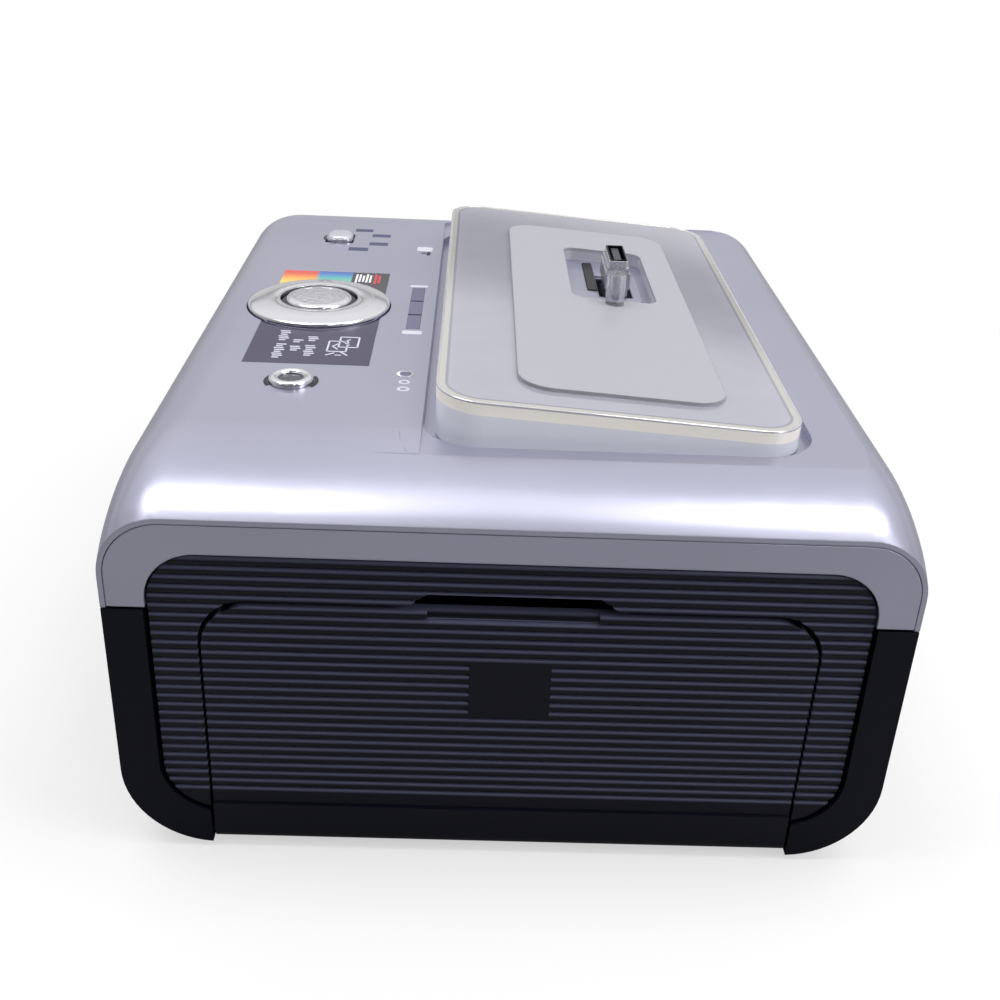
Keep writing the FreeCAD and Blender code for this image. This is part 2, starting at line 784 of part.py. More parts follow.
def build_front_bezel():
    body = new_body("FrontBezel")
    inset = "(rim + part_gap / 2)"
    prism(body, "BezelPlate", "XZ", "front", "front + bezel_depth - part_gap",
          arch("half - " + inset, "seam + part_gap", "edge - " + inset, "top_corner - " + inset))
    prism(body, "PanelRoom", "XZ", "front - overrun", "front + bezel_depth",
          arch("panel_half + panel_gap / 2", "seam - overrun", "panel_top + panel_gap / 2",
               "panel_corner + panel_gap / 2"), remove=True)
    node("front_bezel", body)


def ribbed_slab(body, corners, rear):
    """A slab whose outer face is cut into fine level ribs by a pattern of V shaped valleys."""
    prism(body, "Slab", "XZ", "panel_face", rear, corners)
    bottom = "panel_face + rib_depth"
    valley = [("panel_face - rib_depth", "rib_low", "0"), (bottom, "rib_low + rib_valley / 2", "0"),
              ("panel_face - rib_depth", "rib_low + rib_valley", "0")]
    cutter = prism(body, "Valley", "YZ", "-half", "half", valley, remove=True)
    pattern = body.newObject("PartDesign::LinearPattern", "Ribs")
    pattern.Originals = [cutter]
    axes = {item.Role: item for item in body.Origin.OriginFeatures}
    pattern.Direction = (axes["Z_Axis"], [""])
    pattern.Mode = "Spacing"
    bind(pattern, "Offset", "rib_pitch")
    bind(pattern, "Occurrences", "rib_count")
    body.Tip = pattern
    doc.recompute()
    return pattern


def build_front_panel():
    body = new_body("FrontPanel")
    low = "foot_height + panel_foot"
    outer = rectangle("-panel_half", low, "panel_half", "panel_top", "panel_corner")
    outer[0] = ("-panel_half", low, "panel_foot_corner")
    outer[1] = ("panel_half", low, "panel_foot_corner")
    ribbed_slab(body, outer, "panel_rear")
    # the arch over the paper door
    prism(body, "DoorRoom", "XZ", "front - overrun", "back",
          arch("door_half + door_side_gap", "-overrun", "door_top + door_top_gap",
               "door_corner + door_side_gap"), remove=True)
    # finger notch over the door
    prism(body, "FingerNotch", "XZ", "front - overrun", "back",
          [("-scoop_half", "door_top", "0"), ("scoop_half", "door_top", "0"),
           ("scoop_flat_half", "door_top + door_top_gap + scoop_notch", "0"),
           ("-scoop_flat_half", "door_top + door_top_gap + scoop_notch", "0")], remove=True)
    node("front_panel", body)


def build_paper_door():
    body = new_body("PaperDoor")
    ribbed_slab(body, arch("door_half", "hinge_z", "door_top", "door_corner"), "door_rear")
    prism(body, "Bar", "XZ", "front", "door_rear", rectangle("-door_half", "hinge_z", "door_half",
                                                             "door_bar_top"))
    # bare plate in the middle
    prism(body, "BarePlate", "XZ", "panel_face", "door_rear",
          rectangle("-plate_width / 2", "foot_height + plate_centre_rise - plate_height / 2",
                    "plate_width / 2", "foot_height + plate_centre_rise + plate_height / 2"))
    # round lower edge on the hinge line, so that the door clears the base as it turns
    prism(body, "Knuckle", "YZ", "-door_half", "door_half", circle=("hinge_y", "hinge_z", "hinge_reach"))
    prism(body, "LeftPin", "YZ", "-door_half - door_pin_length", "-door_half",
          circle=("hinge_y", "hinge_z", "door_pin_radius"))
    prism(body, "RightPin", "YZ", "door_half", "door_half + door_pin_length",
          circle=("hinge_y", "hinge_z", "door_pin_radius"))
    # scooped finger slope at the top edge, drawn as a loft that tapers to both ends
    shape = [("panel_face - rib_depth", "door_top - scoop_drop", "0"),
             ("panel_face - rib_depth", "door_top + overrun", "0"),
             ("panel_face + rib_depth * 2", "door_top + overrun", "0"),
             ("panel_face + rib_depth * 2", "door_top", "0")]
    prism(body, "Scoop", "YZ", "-scoop_flat_half", "scoop_flat_half", shape, remove=True)
    node("paper_door", body)


def build_base():
    body = new_body("BaseBody")
    prism(body, "Tub", "XZ", "front", "back - back_corner", keel("half", "foot_height", "seam - seam_gap",
                                                                 "base_corner"))
    loft(body, "TubBack", "XZ", [base_back_section(share, "0") for share in ROLL_SHARES])
    prism(body, "Hollow", "XZ", "front + wall", "back - back_corner",
          keel("half - wall", "floor_top", "seam + overrun", "base_corner - wall"), remove=True)
    loft(body, "HollowBack", "XZ", [base_back_section(share, "wall") for share in ROLL_SHARES], remove=True)
    # front opening for the ribbed panel and the paper door
    gap = "panel_gap"
    low = "foot_height + panel_foot - " + gap
    prism(body, "PanelRoom", "XZ", "front - overrun", "bay_front",
          [("-panel_half - " + gap, low, "panel_foot_corner + " + gap),
           ("panel_half + " + gap, low, "panel_foot_corner + " + gap),
           ("panel_half + " + gap, "seam + overrun", "0"), ("-panel_half - " + gap, "seam + overrun", "0")],
          remove=True)
    prism(body, "DoorRoom", "XZ", "front - overrun", "bay_front + part_gap",
          rectangle("-door_half - door_side_gap", "-overrun", "door_half + door_side_gap", "seam"),
          remove=True)
    # rear paper slot and the opening of the cartridge door
    prism(body, "RearSlot", "XZ", "back - 2 * back_corner", "back + overrun",
          rectangle("-slot_half", "slot_low", "slot_half", "slot_high", "slot_height / 2 - part_gap"),
          remove=True)
    prism(body, "HatchRoom", "YZ", "-half - overrun", "-half + 2 * wall",
          [("hatch_front", "hatch_low", "0"), ("hatch_back", "hatch_low", "0"),
           ("hatch_back", "hatch_high", "hatch_corner"), ("hatch_front", "hatch_high", "hatch_corner")],
          remove=True)
    # sockets in the right wall
    for name, along, across, tall in (("Jack", "jack_y", "jack_half", "jack_height"),
                                      ("Socket", "socket_y", "socket_half", "socket_height"),
                                      ("Host", "host_y", "host_half", "host_height")):
        prism(body, name + "Room", "YZ", "half - 2 * wall", "half + overrun",
              rectangle("%s - %s - part_gap" % (along, across), "port_top - part_gap",
                        "%s + %s + part_gap" % (along, across), "port_top + %s + part_gap" % tall),
                        remove=True)
    return body


def build_base_shell():
    tub = build_base()
    solids = []
    holes = []
    for index, (x, y) in enumerate(CASE_POSTS):
        solids.append(rod("CasePost%d" % index, "Z", (x, y, "foot_height + wall / 2"), "post_radius",
                          "seam - 2 * seam_gap - foot_height - wall / 2"))
        holes.append(rod("CaseBore%d" % index, "Z", (x, y, "foot_height - overrun"),
                         "screw_radius + shaft_gap",
                         "seam + overrun"))
        holes.append(rod("CaseCounterbore%d" % index, "Z", (x, y, "foot_height - overrun"),
                         "screw_head_radius + part_gap", "screw_head_top - foot_height + overrun"))
    # ears that hold the pins of the two doors
    for index, side in enumerate(("-1", "1")):
        inner = "%s * (door_half + door_side_gap)" % side
        outer = "%s * (door_half + door_side_gap + door_pin_length + wall)" % side
        low, high = (outer, inner) if side == "-1" else (inner, outer)
        solids.append(box("DoorEar%d" % index, (low, "front + wall / 2", "floor_top - wall"),
                          (high, "front + 2 * hinge_reach", "hinge_z + 2 * door_pin_radius")))
        holes.append(rod("DoorEarHole%d" % index, "X",
                         ("%s * (door_half + door_side_gap + door_pin_length / 2 + overrun / 2) - pin_room / 2"
                          % side, "hinge_y", "hinge_z"), "door_pin_radius + shaft_gap", "pin_room"))
    for index, place_y in enumerate(("hatch_front - part_gap - door_pin_length - wall", "hatch_back")):
        solids.append(box("HatchEar%d" % index, ("-half + wall / 2", place_y,
                                                 "hatch_axis_z - 2 * door_pin_radius"),
                          ("-half + 2 * hinge_reach", place_y + " + part_gap + door_pin_length + wall",
                           "hatch_axis_z + 2 * door_pin_radius")))
    holes.append(rod("HatchPinHole", "Y", ("hatch_axis_x", "hatch_front - door_pin_length", "hatch_axis_z"),
                     "door_pin_radius + shaft_gap", "hatch_back - hatch_front + 2 * door_pin_length"))
    # seats for the works, the sockets and the feet, and the air slots in the floor
    for index, along in enumerate(("port_board_front + wall", "port_board_back - 2 * wall")):
        solids.append(box("PortShelf%d" % index, ("port_back_x", along, "foot_height"),
                          ("port_back_x + port_shelf", along + " + wall", "port_board_height")))
    for index, (x, y) in enumerate((a, b) for a in ("-works_half + 2 * boss_radius",
                                                    "works_half - 2 * boss_radius")
                                   for b in ("works_back + boss_back_set", "back - back_corner")):
        solids.append(rod("BoardStand%d" % index, "Z", (x, y, "foot_height + wall / 2"), "boss_radius",
                          "wall / 2 + overrun"))
    for index in range(AIR_SLOTS):
        along = "works_back - works_sheet - %d * air_pitch" % index
        holes.append(box("AirSlot%d" % index, ("-air_half", along + " - air_width", "foot_height - overrun"),
                         ("air_half", along, "floor_top + overrun")))
    room = new_body("BaseRoom")
    prism(room, "RoomTub", "XZ", "front + wall / 2", "back - back_corner",
          keel("half - wall / 2", "foot_height + wall / 2", "seam - seam_gap", "base_corner - wall / 2"))
    loft(room, "RoomTubBack", "XZ", [base_back_section(share, "wall / 2") for share in ROLL_SHARES])
    inside = common("BaseInside", [fuse("BaseExtras", solids), room])
    node("base_shell", cut("BaseShell", fuse("BaseSolids", [tub, inside]), holes))


AIR_SLOTS = 6


def build_fasteners():
    screws = []
    for index, (x, y) in enumerate(CASE_POSTS):
        head = rod("ScrewHead%d" % index, "Z", (x, y, "screw_head_top - screw_head_height"),
                   "screw_head_radius", "screw_head_height")
        shank = rod("ScrewShank%d" % index, "Z", (x, y, "screw_head_top"), "screw_radius",
                    "screw_length - screw_grip / 2")
        screws.append(fuse("CaseScrew%d" % index, [head, shank]))
    node("case_screws", group("CaseScrews", screws))
    feet = []
    for index, (x, y) in enumerate((a, b) for a in ("-foot_x", "foot_x") for b in ("-foot_y", "foot_y")):
        feet.append(rod("Foot%d" % index, "Z", (x, y, "0"), "foot_radius", "foot_height"))
    node("rubber_feet", group("RubberFeet", feet))


def build_paper_bay():
    """The front frame behind the ribbed panel, with the five sided bay that the paper cassette enters."""
    inner = "bay_half - bay_sheet"
    frame = box("BayFrame", ("-half", "bay_front", "bay_floor"), ("half", "bay_front + bay_sheet", "edge"))
    tub = box("BayTub", ("-bay_half", "bay_front", "floor_top"), ("bay_half", "bay_back",
                                                                  "bay_top + bay_sheet"))
    lugs = [box("PickLug%d" % index, (at, "pick_y - 2 * pick_shaft_radius", "bay_top"),
                (at + " + bay_sheet", "pick_y + 2 * pick_shaft_radius", "pick_z + 2 * pick_shaft_radius"))
            for index, at in enumerate(("-pick_half - bay_sheet - 2 * part_gap", "pick_half + 2 * part_gap"))]
    room = box("BayRoom", ("-bay_half + bay_sheet", "bay_front - overrun", "bay_floor"),
               (inner, "bay_back - bay_sheet", "bay_top"))
    notch = box("FrameNotch", ("-scoop_half", "bay_front - overrun", "door_top - overrun"),
                ("scoop_half", "bay_front + overrun", "door_top + door_top_gap + scoop_notch"))
    corners = new_body("FrameOutline")
    inset = "wall + 2 * part_gap"
    low_round = "base_corner - (%s)" % inset
    high_round = "top_corner - (%s)" % inset
    wide = "half - (%s)" % inset
    prism(corners, "FrameOutlinePad", "XZ", "bay_front - overrun", "bay_back + overrun",
          [("-(%s)" % wide, "floor_top", low_round), (wide, "floor_top", low_round),
           (wide, "edge - (%s)" % inset, high_round), ("-(%s)" % wide, "edge - (%s)" % inset, high_round)])
    slot = box("BayPaperSlot", ("-slot_half", "bay_back - overrun", "slot_low"),
               ("slot_half", "bay_back + overrun", "slot_high"))
    window = box("PickWindow", ("-pick_half - part_gap", "pick_y - pick_radius", "bay_top - overrun"),
                 ("pick_half + part_gap", "pick_y + pick_radius", "bay_top + overrun"))
    shaft = rod("PickShaftHole", "X", ("-half", "pick_y", "pick_z"), "pick_shaft_radius + shaft_gap",
                "body_width")
    posts = [rod("FramePostRoom%d" % index, "Z", (x, "post_front_y", "0"), "post_radius + part_gap", "deck")
             for index, x in enumerate(("-post_x", "post_x"))]
    shaped = common("BayShaped", [fuse("BaySolids", [frame, tub] + lugs), corners])
    node("paper_bay", cut("PaperBay", shaped, [room, notch, slot, window, shaft] + posts))


def build_pickup_roller():
    """A rubber tyre on a thin shaft, hung in two lugs over a window in the roof of the bay."""
    tyre = rod("PickupDisc", "X", ("-pick_half", "pick_y", "pick_z"), "pick_radius", "2 * pick_half")
    over = "pick_half + bay_sheet + pick_side_gap"
    shaft = rod("PickupShaft", "X", ("-(%s)" % over, "pick_y", "pick_z"), "pick_shaft_radius",
                "2 * (%s)" % over)
    bore = rod("PickupBore", "X", ("-half", "pick_y", "pick_z"), "pick_shaft_radius", "body_width")
    node("pickup_shaft", shaft)
    node("pickup_roller", cut("PickupTyre", tyre, [bore]))


def build_cartridge_door():
    body = new_body("CartridgeDoor")
    gap = "part_gap"
    prism(body, "HatchSlab", "YZ", "-half", "-half + hatch_thickness",
          [("hatch_front + " + gap, "hatch_axis_z", "0"), ("hatch_back - " + gap, "hatch_axis_z", "0"),
           ("hatch_back - " + gap, "hatch_high - " + gap, "hatch_corner"),
           ("hatch_front + " + gap, "hatch_high - " + gap, "hatch_corner")])
    knuckle = rod("HatchKnuckle", "Y", ("hatch_axis_x", "hatch_front + part_gap", "hatch_axis_z"),
                  "hinge_reach",
                  "hatch_back - hatch_front - 2 * part_gap")
    pins = rod("HatchPins", "Y", ("hatch_axis_x", "hatch_front - door_pin_length + part_gap", "hatch_axis_z"),
               "door_pin_radius", "hatch_back - hatch_front + 2 * door_pin_length - 2 * part_gap")
    middle = "(hatch_front + hatch_back) / 2"
    grip = box("HatchGrip", ("-half - overrun", middle + " - hatch_grip_half",
                             "hatch_high - hatch_grip_height"),
               ("-half + hatch_thickness / 2", middle + " + hatch_grip_half",
                "hatch_high - hatch_grip_height / 2"))
    node("cartridge_door", cut("CartridgeDoorCut", fuse("CartridgeDoorSolid", [body, knuckle, pins]), [grip]))


def wedge(body, name, low, drop, edge):
    """A rounded plate whose top falls to the right, as high as the insert less a drop."""
    left, right, near, far, radius = edge
    prism(body, name, "XY", low, "insert_left_top + overrun", rectangle(left, near, right, far, radius))
    slope_cut(body, name + "Slope", "insert_left_top - " + drop, "insert_right_top - " + drop)


def build_camera_insert():
    edge = ("insert_left", "insert_right", "insert_front", "insert_back", "insert_corner")
    body = new_body("InsertBody")
    wedge(body, "Cap", "dock_floor - moat_depth + part_gap", "0", edge)
    # the inside follows the raised block of the top shell
    inner = ("insert_left + insert_skirt", "insert_right - insert_skirt", "insert_front + insert_skirt",
             "insert_back - insert_skirt", "insert_corner - insert_skirt")
    core = new_body("InsertCore")
    wedge(core, "Core", "seam", "insert_plate", inner)
    stage = new_body("InsertStage")
    prism(stage, "Stage", "XY", "insert_right_top - insert_plate / 2", "insert_left_top + overrun",
          rectangle("stage_left", "front + stage_set", "stage_right", "front + stage_back_set",
                    "stage_corner"))
    slope_cut(stage, "StageSlope", "insert_left_top + stage_height", "insert_right_top + stage_height")
    window = new_body("InsertWindow")
    prism(window, "Window", "XY", "seam", "insert_left_top + 2 * overrun",
          rectangle("window_left", "front + window_set", "window_right", "front + window_back_set",
                    "window_corner"))
    post = rod("LocatingPost", "Z", ("post_tip_x", "front + post_tip_set",
                                     "insert_right_top - insert_plate / 2"),
               "post_tip_radius", "insert_left_top - insert_right_top + post_tip_height")
    bore = rod("PostTipBore", "Z", ("post_tip_x", "front + post_tip_set", "insert_left_top + stage_height"),
               "post_tip_radius / 2", "post_tip_height")
    node("camera_insert", cut("CameraInsert", fuse("InsertSolids", [body, stage, post]), [core, window,
                                                                                          bore]))


def plug_box(name, grow_x, grow_y, low, high):
    return box(name, ("plug_x - (%s)" % grow_x, "plug_y - (%s)" % grow_y, low),
               ("plug_x + " + grow_x, "plug_y + " + grow_y, high))


def build_connector():
    rise = "foot_height + shroud_rise"
    tip = "foot_height + plug_rise"
    inner_x = "shroud_half_x - shroud_wall"
    inner_y = "shroud_half_y - shroud_wall"
    low = "rock_z + carriage_height / 2"
    shell = plug_box("ShroudOuter", "shroud_half_x", "shroud_half_y", low, rise)
    collar = plug_box("ShroudCollar", "shroud_half_x + collar_out", "shroud_half_y + collar_out",
                      rise + " - 2 * collar_height", rise + " - collar_height / 2")
    node("connector_shroud", cut("Shroud", fuse("ShroudSolids", [shell, collar]),
                                 [plug_box("ShroudRoom", inner_x, inner_y, low + " - overrun", tip)]))
    plug = plug_box("PlugBlock", inner_x, inner_y, low, tip)
    mouth = plug_box("PlugMouth", inner_x + " - shroud_wall / 2", inner_y + " - shroud_wall / 2",
                     rise + " - collar_height", tip + " + overrun")
    node("connector_plug", cut("Plug", plug, [mouth]))
    node("connector_tongue", plug_box("Tongue", "tongue_half", inner_y + " - shroud_wall",
                                      rise + " - collar_height", tip + " - shroud_wall"))
    block = plug_box("CarriageBlock", "carriage_half_x", "carriage_half_y", "rock_z - carriage_height / 2",
                     low)
    pins = rod("CarriagePins", "Y", ("plug_x", "plug_y - carriage_half_y - carriage_pin_length", "rock_z"),
               "carriage_pin_radius", "2 * (carriage_half_y + carriage_pin_length)")
    node("connector_carriage", fuse("Carriage", [block, pins]))
    # two lugs under the raised block carry the pins of the rocking carriage
    lugs = []
    for index, (low_y, high_y) in enumerate(
            (("plug_y - carriage_half_y - carriage_pin_length", "plug_y - carriage_half_y - slide_gap"),
             ("plug_y + carriage_half_y + slide_gap", "plug_y + carriage_half_y + carriage_pin_length"))):
        lugs.append(box("RockLug%d" % index, ("plug_x - lug_half", low_y, "rock_z - lug_drop"),
                        ("plug_x + lug_half", high_y, "insert_right_top - insert_plate - wall")))
    rails = [box("RockRail%d" % index, (low_x, "plug_y - carriage_half_y - carriage_pin_length",
                                        "insert_right_top - insert_plate - wall - board_sheet"),
                 (high_x, "plug_y + carriage_half_y + carriage_pin_length",
                  "insert_right_top - insert_plate - wall"))
             for index, (low_x, high_x) in enumerate(
                 (("plug_x - 2 * carriage_half_x", "plug_x - carriage_half_x - rock_gap"),
                  ("plug_x + carriage_half_x + rock_gap", "plug_x + 2 * carriage_half_x")))]
    ends = [box("RockEnd%d" % index, ("plug_x - 2 * carriage_half_x", low_y,
                                      "insert_right_top - insert_plate - wall - board_sheet"),
                ("plug_x + 2 * carriage_half_x", high_y, "insert_right_top - insert_plate - wall"))
            for index, (low_y, high_y) in enumerate(
                (("plug_y - carriage_half_y - carriage_pin_length", "plug_y - carriage_half_y - slide_gap"),
                 ("plug_y + carriage_half_y + slide_gap", "plug_y + carriage_half_y + carriage_pin_length")))]
    node("rocker_bracket", cut("RockerBracket", fuse("RockerSolids", lugs + rails + ends), [
        rod("RockHole", "Y", ("plug_x", "front", "rock_z"), "carriage_pin_radius + shaft_gap",
            "body_depth")]))


def build_controls():
    ring_low = "deck - ring_skirt"
    ring = rod("RingDisc", "Z", ("ring_x", "ring_y", ring_low), "ring_radius", "ring_skirt + ring_height")
    crown = doc.addObject("Part::Chamfer", "RingCrown")
    crown.Base = ring
    doc.recompute()
    top_edge = max(range(len(ring.Shape.Edges)), key=lambda index: ring.Shape.Edges[index].BoundBox.ZMin)
    crown.Edges = [(top_edge + 1, size("ring_height * crown_rise_share"),
                    size("ring_height * crown_run_share"))]
    pegs = [rod("RingPeg%d" % index, "Z", (x, y, "stem_low"), "ring_peg_radius", "deck - stem_low")
            for index, (x, y) in enumerate(PEG_PLACES)]
    bore = rod("RingBore", "Z", ("ring_x", "ring_y", "seam"), "ring_bore", "deck - seam + overrun")
    node("nav_ring", cut("NavRing", fuse("RingSolids", [crown] + pegs), [bore]))
    key = rod("KeyDisc", "Z", ("ring_x", "ring_y", ring_low), "key_radius",
              "ring_skirt + key_height - key_dome")
    cap = doc.addObject("Part::Cone", "KeyDome")
    bind(cap, "Radius1", "key_radius")
    bind(cap, "Radius2", "key_radius * key_crown_share")
    bind(cap, "Height", "key_dome")
    place(cap, "ring_x", "ring_y", "deck + key_height - key_dome")
    stem = rod("KeyStem", "Z", ("ring_x", "ring_y", "stem_low"), "key_stem_radius", "deck - stem_low")
    node("ok_button", fuse("OkButton", [key, cap, stem]))
    power = rod("PowerDisc", "Z", ("ring_x", "power_y", "stem_low"), "power_radius",
                "deck - stem_low + power_height")
    lens_seat = rod("PowerLensSeat", "Z", ("ring_x", "power_y", "deck - power_height"), "power_lens_radius",
                    "lens_seat_height")
    node("power_button", cut("PowerButton", power, [lens_seat]))
    node("power_lens", rod("PowerLens", "Z", ("ring_x", "power_y", "deck - power_height"),
                           "power_lens_radius",
                           "power_height * lens_rise_share"))
    body = new_body("SizeButton")
    prism(body, "SizeCap", "XY", "stem_low", "deck + size_height",
          rectangle("size_x - size_half", "size_y - size_depth / 2", "size_x + size_half",
                    "size_y + size_depth / 2", "size_half * size_corner_share"))
    node("size_button", body)


def build_panel_trim():
    """Printed labels let into the panel, and the lamp windows."""
    bite = "ring_radius + slide_gap + label_ring_gap"
    sheets = []
    split = "front + label_set + (strip_back_set - label_set) * label_split_share"
    for name, near, far in (("control_label", "front + label_set", split),
                            ("colour_strip", split, "front + strip_back_set")):
        blank = box(name + "Sheet", ("label_left", near, "deck - label_sheet"), ("label_right", far, "deck"))
        hole = rod(name + "Bite", "Z", ("ring_x", "ring_y", "seam"), bite, "deck")
        sheets.append(node(name, cut(name + "Cut", blank, [hole])))
    high = "deck + label_sheet"
    strip = box("LampStrip", ("lamp_x - lamp_half", "front + lamp_low_set", "deck - lamp_depth"),
                ("lamp_x + lamp_half", "front + lamp_high_set", "deck"))
    pitch = "(lamp_high_set - lamp_low_set) / lamp_window_count"
    grooves = []
    for index in (1, 2):
        middle = "front + lamp_low_set + %d * %s" % (index, pitch)
        grooves.append(box("LampBar%d" % index,
                           ("lamp_x - lamp_half", middle + " - lamp_bar / 2", "deck - label_sheet"),
                           ("lamp_x + lamp_half", middle + " + lamp_bar / 2", high)))
    near = rod("NearLamp", "Z", ("lamp_x", "front + near_lamp_set", "deck - lamp_depth"), "near_lamp_half",
               "lamp_depth")
    far = rod("FarLamp", "Z", ("lamp_x", "front + far_lamp_set", "deck - lamp_depth"), "far_lamp_half",
              "lamp_depth")
    node("status_window", cut("StatusWindow", strip, grooves))
    node("lamp_lenses", group("LampLenses", [near, far]))


def build_boards():
    board = box("PanelBoardSheet", ("panel_board_left", "panel_board_front", "board_top - board_sheet"),
                ("panel_board_right", "panel_board_back", "board_top"))
    node("panel_board", board)
    switches = []
    for index, (x, y) in enumerate(PEG_PLACES + [("ring_x", "ring_y"), ("ring_x", "power_y"),
                                                 ("size_x", "size_y")]):
        switches.append(box("Switch%d" % index, (x + " - switch_size / 2", y + " - switch_size / 2",
                                                 "board_top"),
                            (x + " + switch_size / 2", y + " + switch_size / 2",
                             "board_top + switch_height")))
    node("switches", group("Switches", switches))
    node("port_board", box("PortBoard", ("port_back_x", "port_board_front", "port_board_height"),
                           ("half - wall - part_gap", "port_board_back", "port_top")))
    jack = box("JackBlock", ("port_back_x", "jack_y - jack_half", "port_top"),
               ("port_x", "jack_y + jack_half", "port_top + jack_height"))
    bore = rod("JackBore", "X", ("half - jack_height", "jack_y", "port_top + jack_height / 2"), "jack_bore",
               "jack_height + overrun")
    pin = rod("JackPin", "X", ("half - jack_height - jack_floor", "jack_y", "port_top + jack_height / 2"),
              "jack_pin_radius", "jack_height - jack_floor")
    node("power_inlet", fuse("PowerInlet", [cut("JackShell", jack, [bore]), pin]))
    for name, along, across, tall in (("usb_socket", "socket_y", "socket_half", "socket_height"),
                                      ("host_socket", "host_y", "host_half", "host_height")):
        block = box(name + "Block", ("port_back_x", "%s - %s" % (along, across), "port_top"),
                    ("port_x", "%s + %s" % (along, across), "port_top + " + tall))
        room = box(name + "Room", ("half - socket_height", "%s - %s + port_wall" % (along, across),
                                   "port_top + port_wall"),
                   ("half + overrun", "%s + %s - port_wall" % (along, across),
                    "port_top + %s - port_wall" % tall))
        centre = "port_top + %s / 2" % tall
        blade = box(name + "Blade", ("half - socket_height - port_wall",
                                     "%s - %s * socket_blade_share" % (along, across),
                                     "%s - (%s) * socket_blade_share / 2" % (centre, tall)),
                    ("half - 2 * port_wall", "%s + %s * socket_blade_share" % (along, across),
                     "%s + (%s) * socket_blade_share / 2" % (centre, tall)))
        node(name, fuse(name + "All", [cut(name + "Shell", block, [room]), blade]))


def roller(label, y, z, radius, shaft, extra="0"):
    """A roller between the side plates, with its shaft running in them and past the right one."""
    drum = rod(label + "Drum", "X", ("-roller_half", y, z), radius, "2 * roller_half")
    reach = "works_half + works_sheet + part_gap"
    axle = rod(label + "Axle", "X", ("-(%s)" % reach, y, z), shaft, "2 * (%s) + %s" % (reach, extra))
    return fuse(label, [drum, axle])


def gear_outline(teeth, turn):
    """Points of a spur gear of straight flanked teeth, as a closed wire in the plane across X."""
    pitch = size("gear_module") * teeth / 2
    tip = pitch + size("gear_module") * TOOTH_SHARES["tip"]
    root = pitch - size("gear_module") * TOOTH_SHARES["root"]
    step = 2 * math.pi / teeth
    points = []
    for index in range(teeth):
        middle = turn + index * step
        for radius, share in ((root, -TOOTH_SHARES["foot_half"]), (tip, -TOOTH_SHARES["crest_half"]),
                              (tip, TOOTH_SHARES["crest_half"]), (root, TOOTH_SHARES["foot_half"])):
            angle = middle + share * step
            points.append(FreeCAD.Vector(0, radius * math.cos(angle), radius * math.sin(angle)))
    return Part.makePolygon(points + points[:1])


# Tooth sizes as shares of the module, and tooth half widths as shares of the pitch.
TOOTH_SHARES = {"tip": 0.8, "root": 1.1, "crest_half": 0.09, "foot_half": 0.26}


def gear(label, teeth_word, centre, turn, bore):
    teeth = int(round(size(teeth_word)))
    width = size("gear_width")
    wheel = Part.Face(gear_outline(teeth, turn)).extrude(FreeCAD.Vector(width, 0, 0))
    hole = Part.makeCylinder(size(bore), width, FreeCAD.Vector(0, 0, 0), AXES["X"])
    item = doc.addObject("Part::Feature", label)
    item.Shape = wheel.cut(hole)
    item.Placement = FreeCAD.Placement(FreeCAD.Vector(size("gear_x"), centre[0], centre[1]),
                                       FreeCAD.Rotation())
    return item


def mesh_turn(driver, driver_teeth, driver_turn, follower, follower_teeth):
    """The turn of a follower whose tooth gap faces a tooth of its driver."""
    line = math.atan2(follower[1] - driver[1], follower[0] - driver[0])
    driver_phase = (line - driver_turn) * driver_teeth / (2 * math.pi)
    half_step = math.pi / follower_teeth
    return line + math.pi + driver_phase * 2 * half_step + half_step


# Each wheel with the words for its centre and its count of teeth.
WHEELS = {
    "idler_gear": ("idler_y", "idler_z", "idler_teeth"),
    "platen_gear": ("platen_y", "platen_z", "platen_teeth"),
    "capstan_gear": ("capstan_y", "capstan_z", "capstan_teeth"),
    "takeup_gear": ("takeup_y", "spool_height", "takeup_teeth"),
    "motor_pinion": ("pinion_y", "pinion_z", "pinion_teeth"),
}
DRIVES = (("idler_gear", "platen_gear"), ("idler_gear", "capstan_gear"), ("idler_gear", "takeup_gear"),
          ("capstan_gear", "motor_pinion"))


def gear_turns():
    """The turn of each wheel that lets its teeth mesh with those of its driver."""
    turns = {"idler_gear": 0}
    for driver, follower in DRIVES:
        near, far = WHEELS[driver], WHEELS[follower]
        turns[follower] = mesh_turn((size(near[0]), size(near[1])), int(size(near[2])), turns[driver],
                                    (size(far[0]), size(far[1])), int(size(far[2])))
    return turns


def build_gears():
    turns = gear_turns()
    bores = {"idler_gear": "shaft_radius + shaft_gap", "platen_gear": "shaft_radius",
             "capstan_gear": "shaft_radius", "takeup_gear": "shaft_radius",
             "motor_pinion": "motor_shaft_radius"}
    for label, (y, z, teeth) in WHEELS.items():
        node(label, gear(label, teeth, (size(y), size(z)), turns[label], bores[label]))
    node("idler_stud", rod("IdlerStud", "X", ("works_half", "idler_y", "idler_z"), "shaft_radius",
                           "works_sheet + gear_gap + gear_width + part_gap"))
    node("drive_motor", rod("MotorCan", "X", ("works_half - motor_length", "pinion_y", "pinion_z"),
                            "motor_radius", "motor_length"))
    node("motor_shaft", rod("MotorShaft", "X", ("works_half", "pinion_y", "pinion_z"), "motor_shaft_radius",
                            "works_sheet + gear_gap + gear_width"))
    node("takeup_gear_shaft", rod("TakeupDriver", "X", ("cartridge_right + part_gap", "takeup_y",
                                                        "spool_height"),
                                  "shaft_radius", "gear_x + gear_width - cartridge_right - part_gap"))


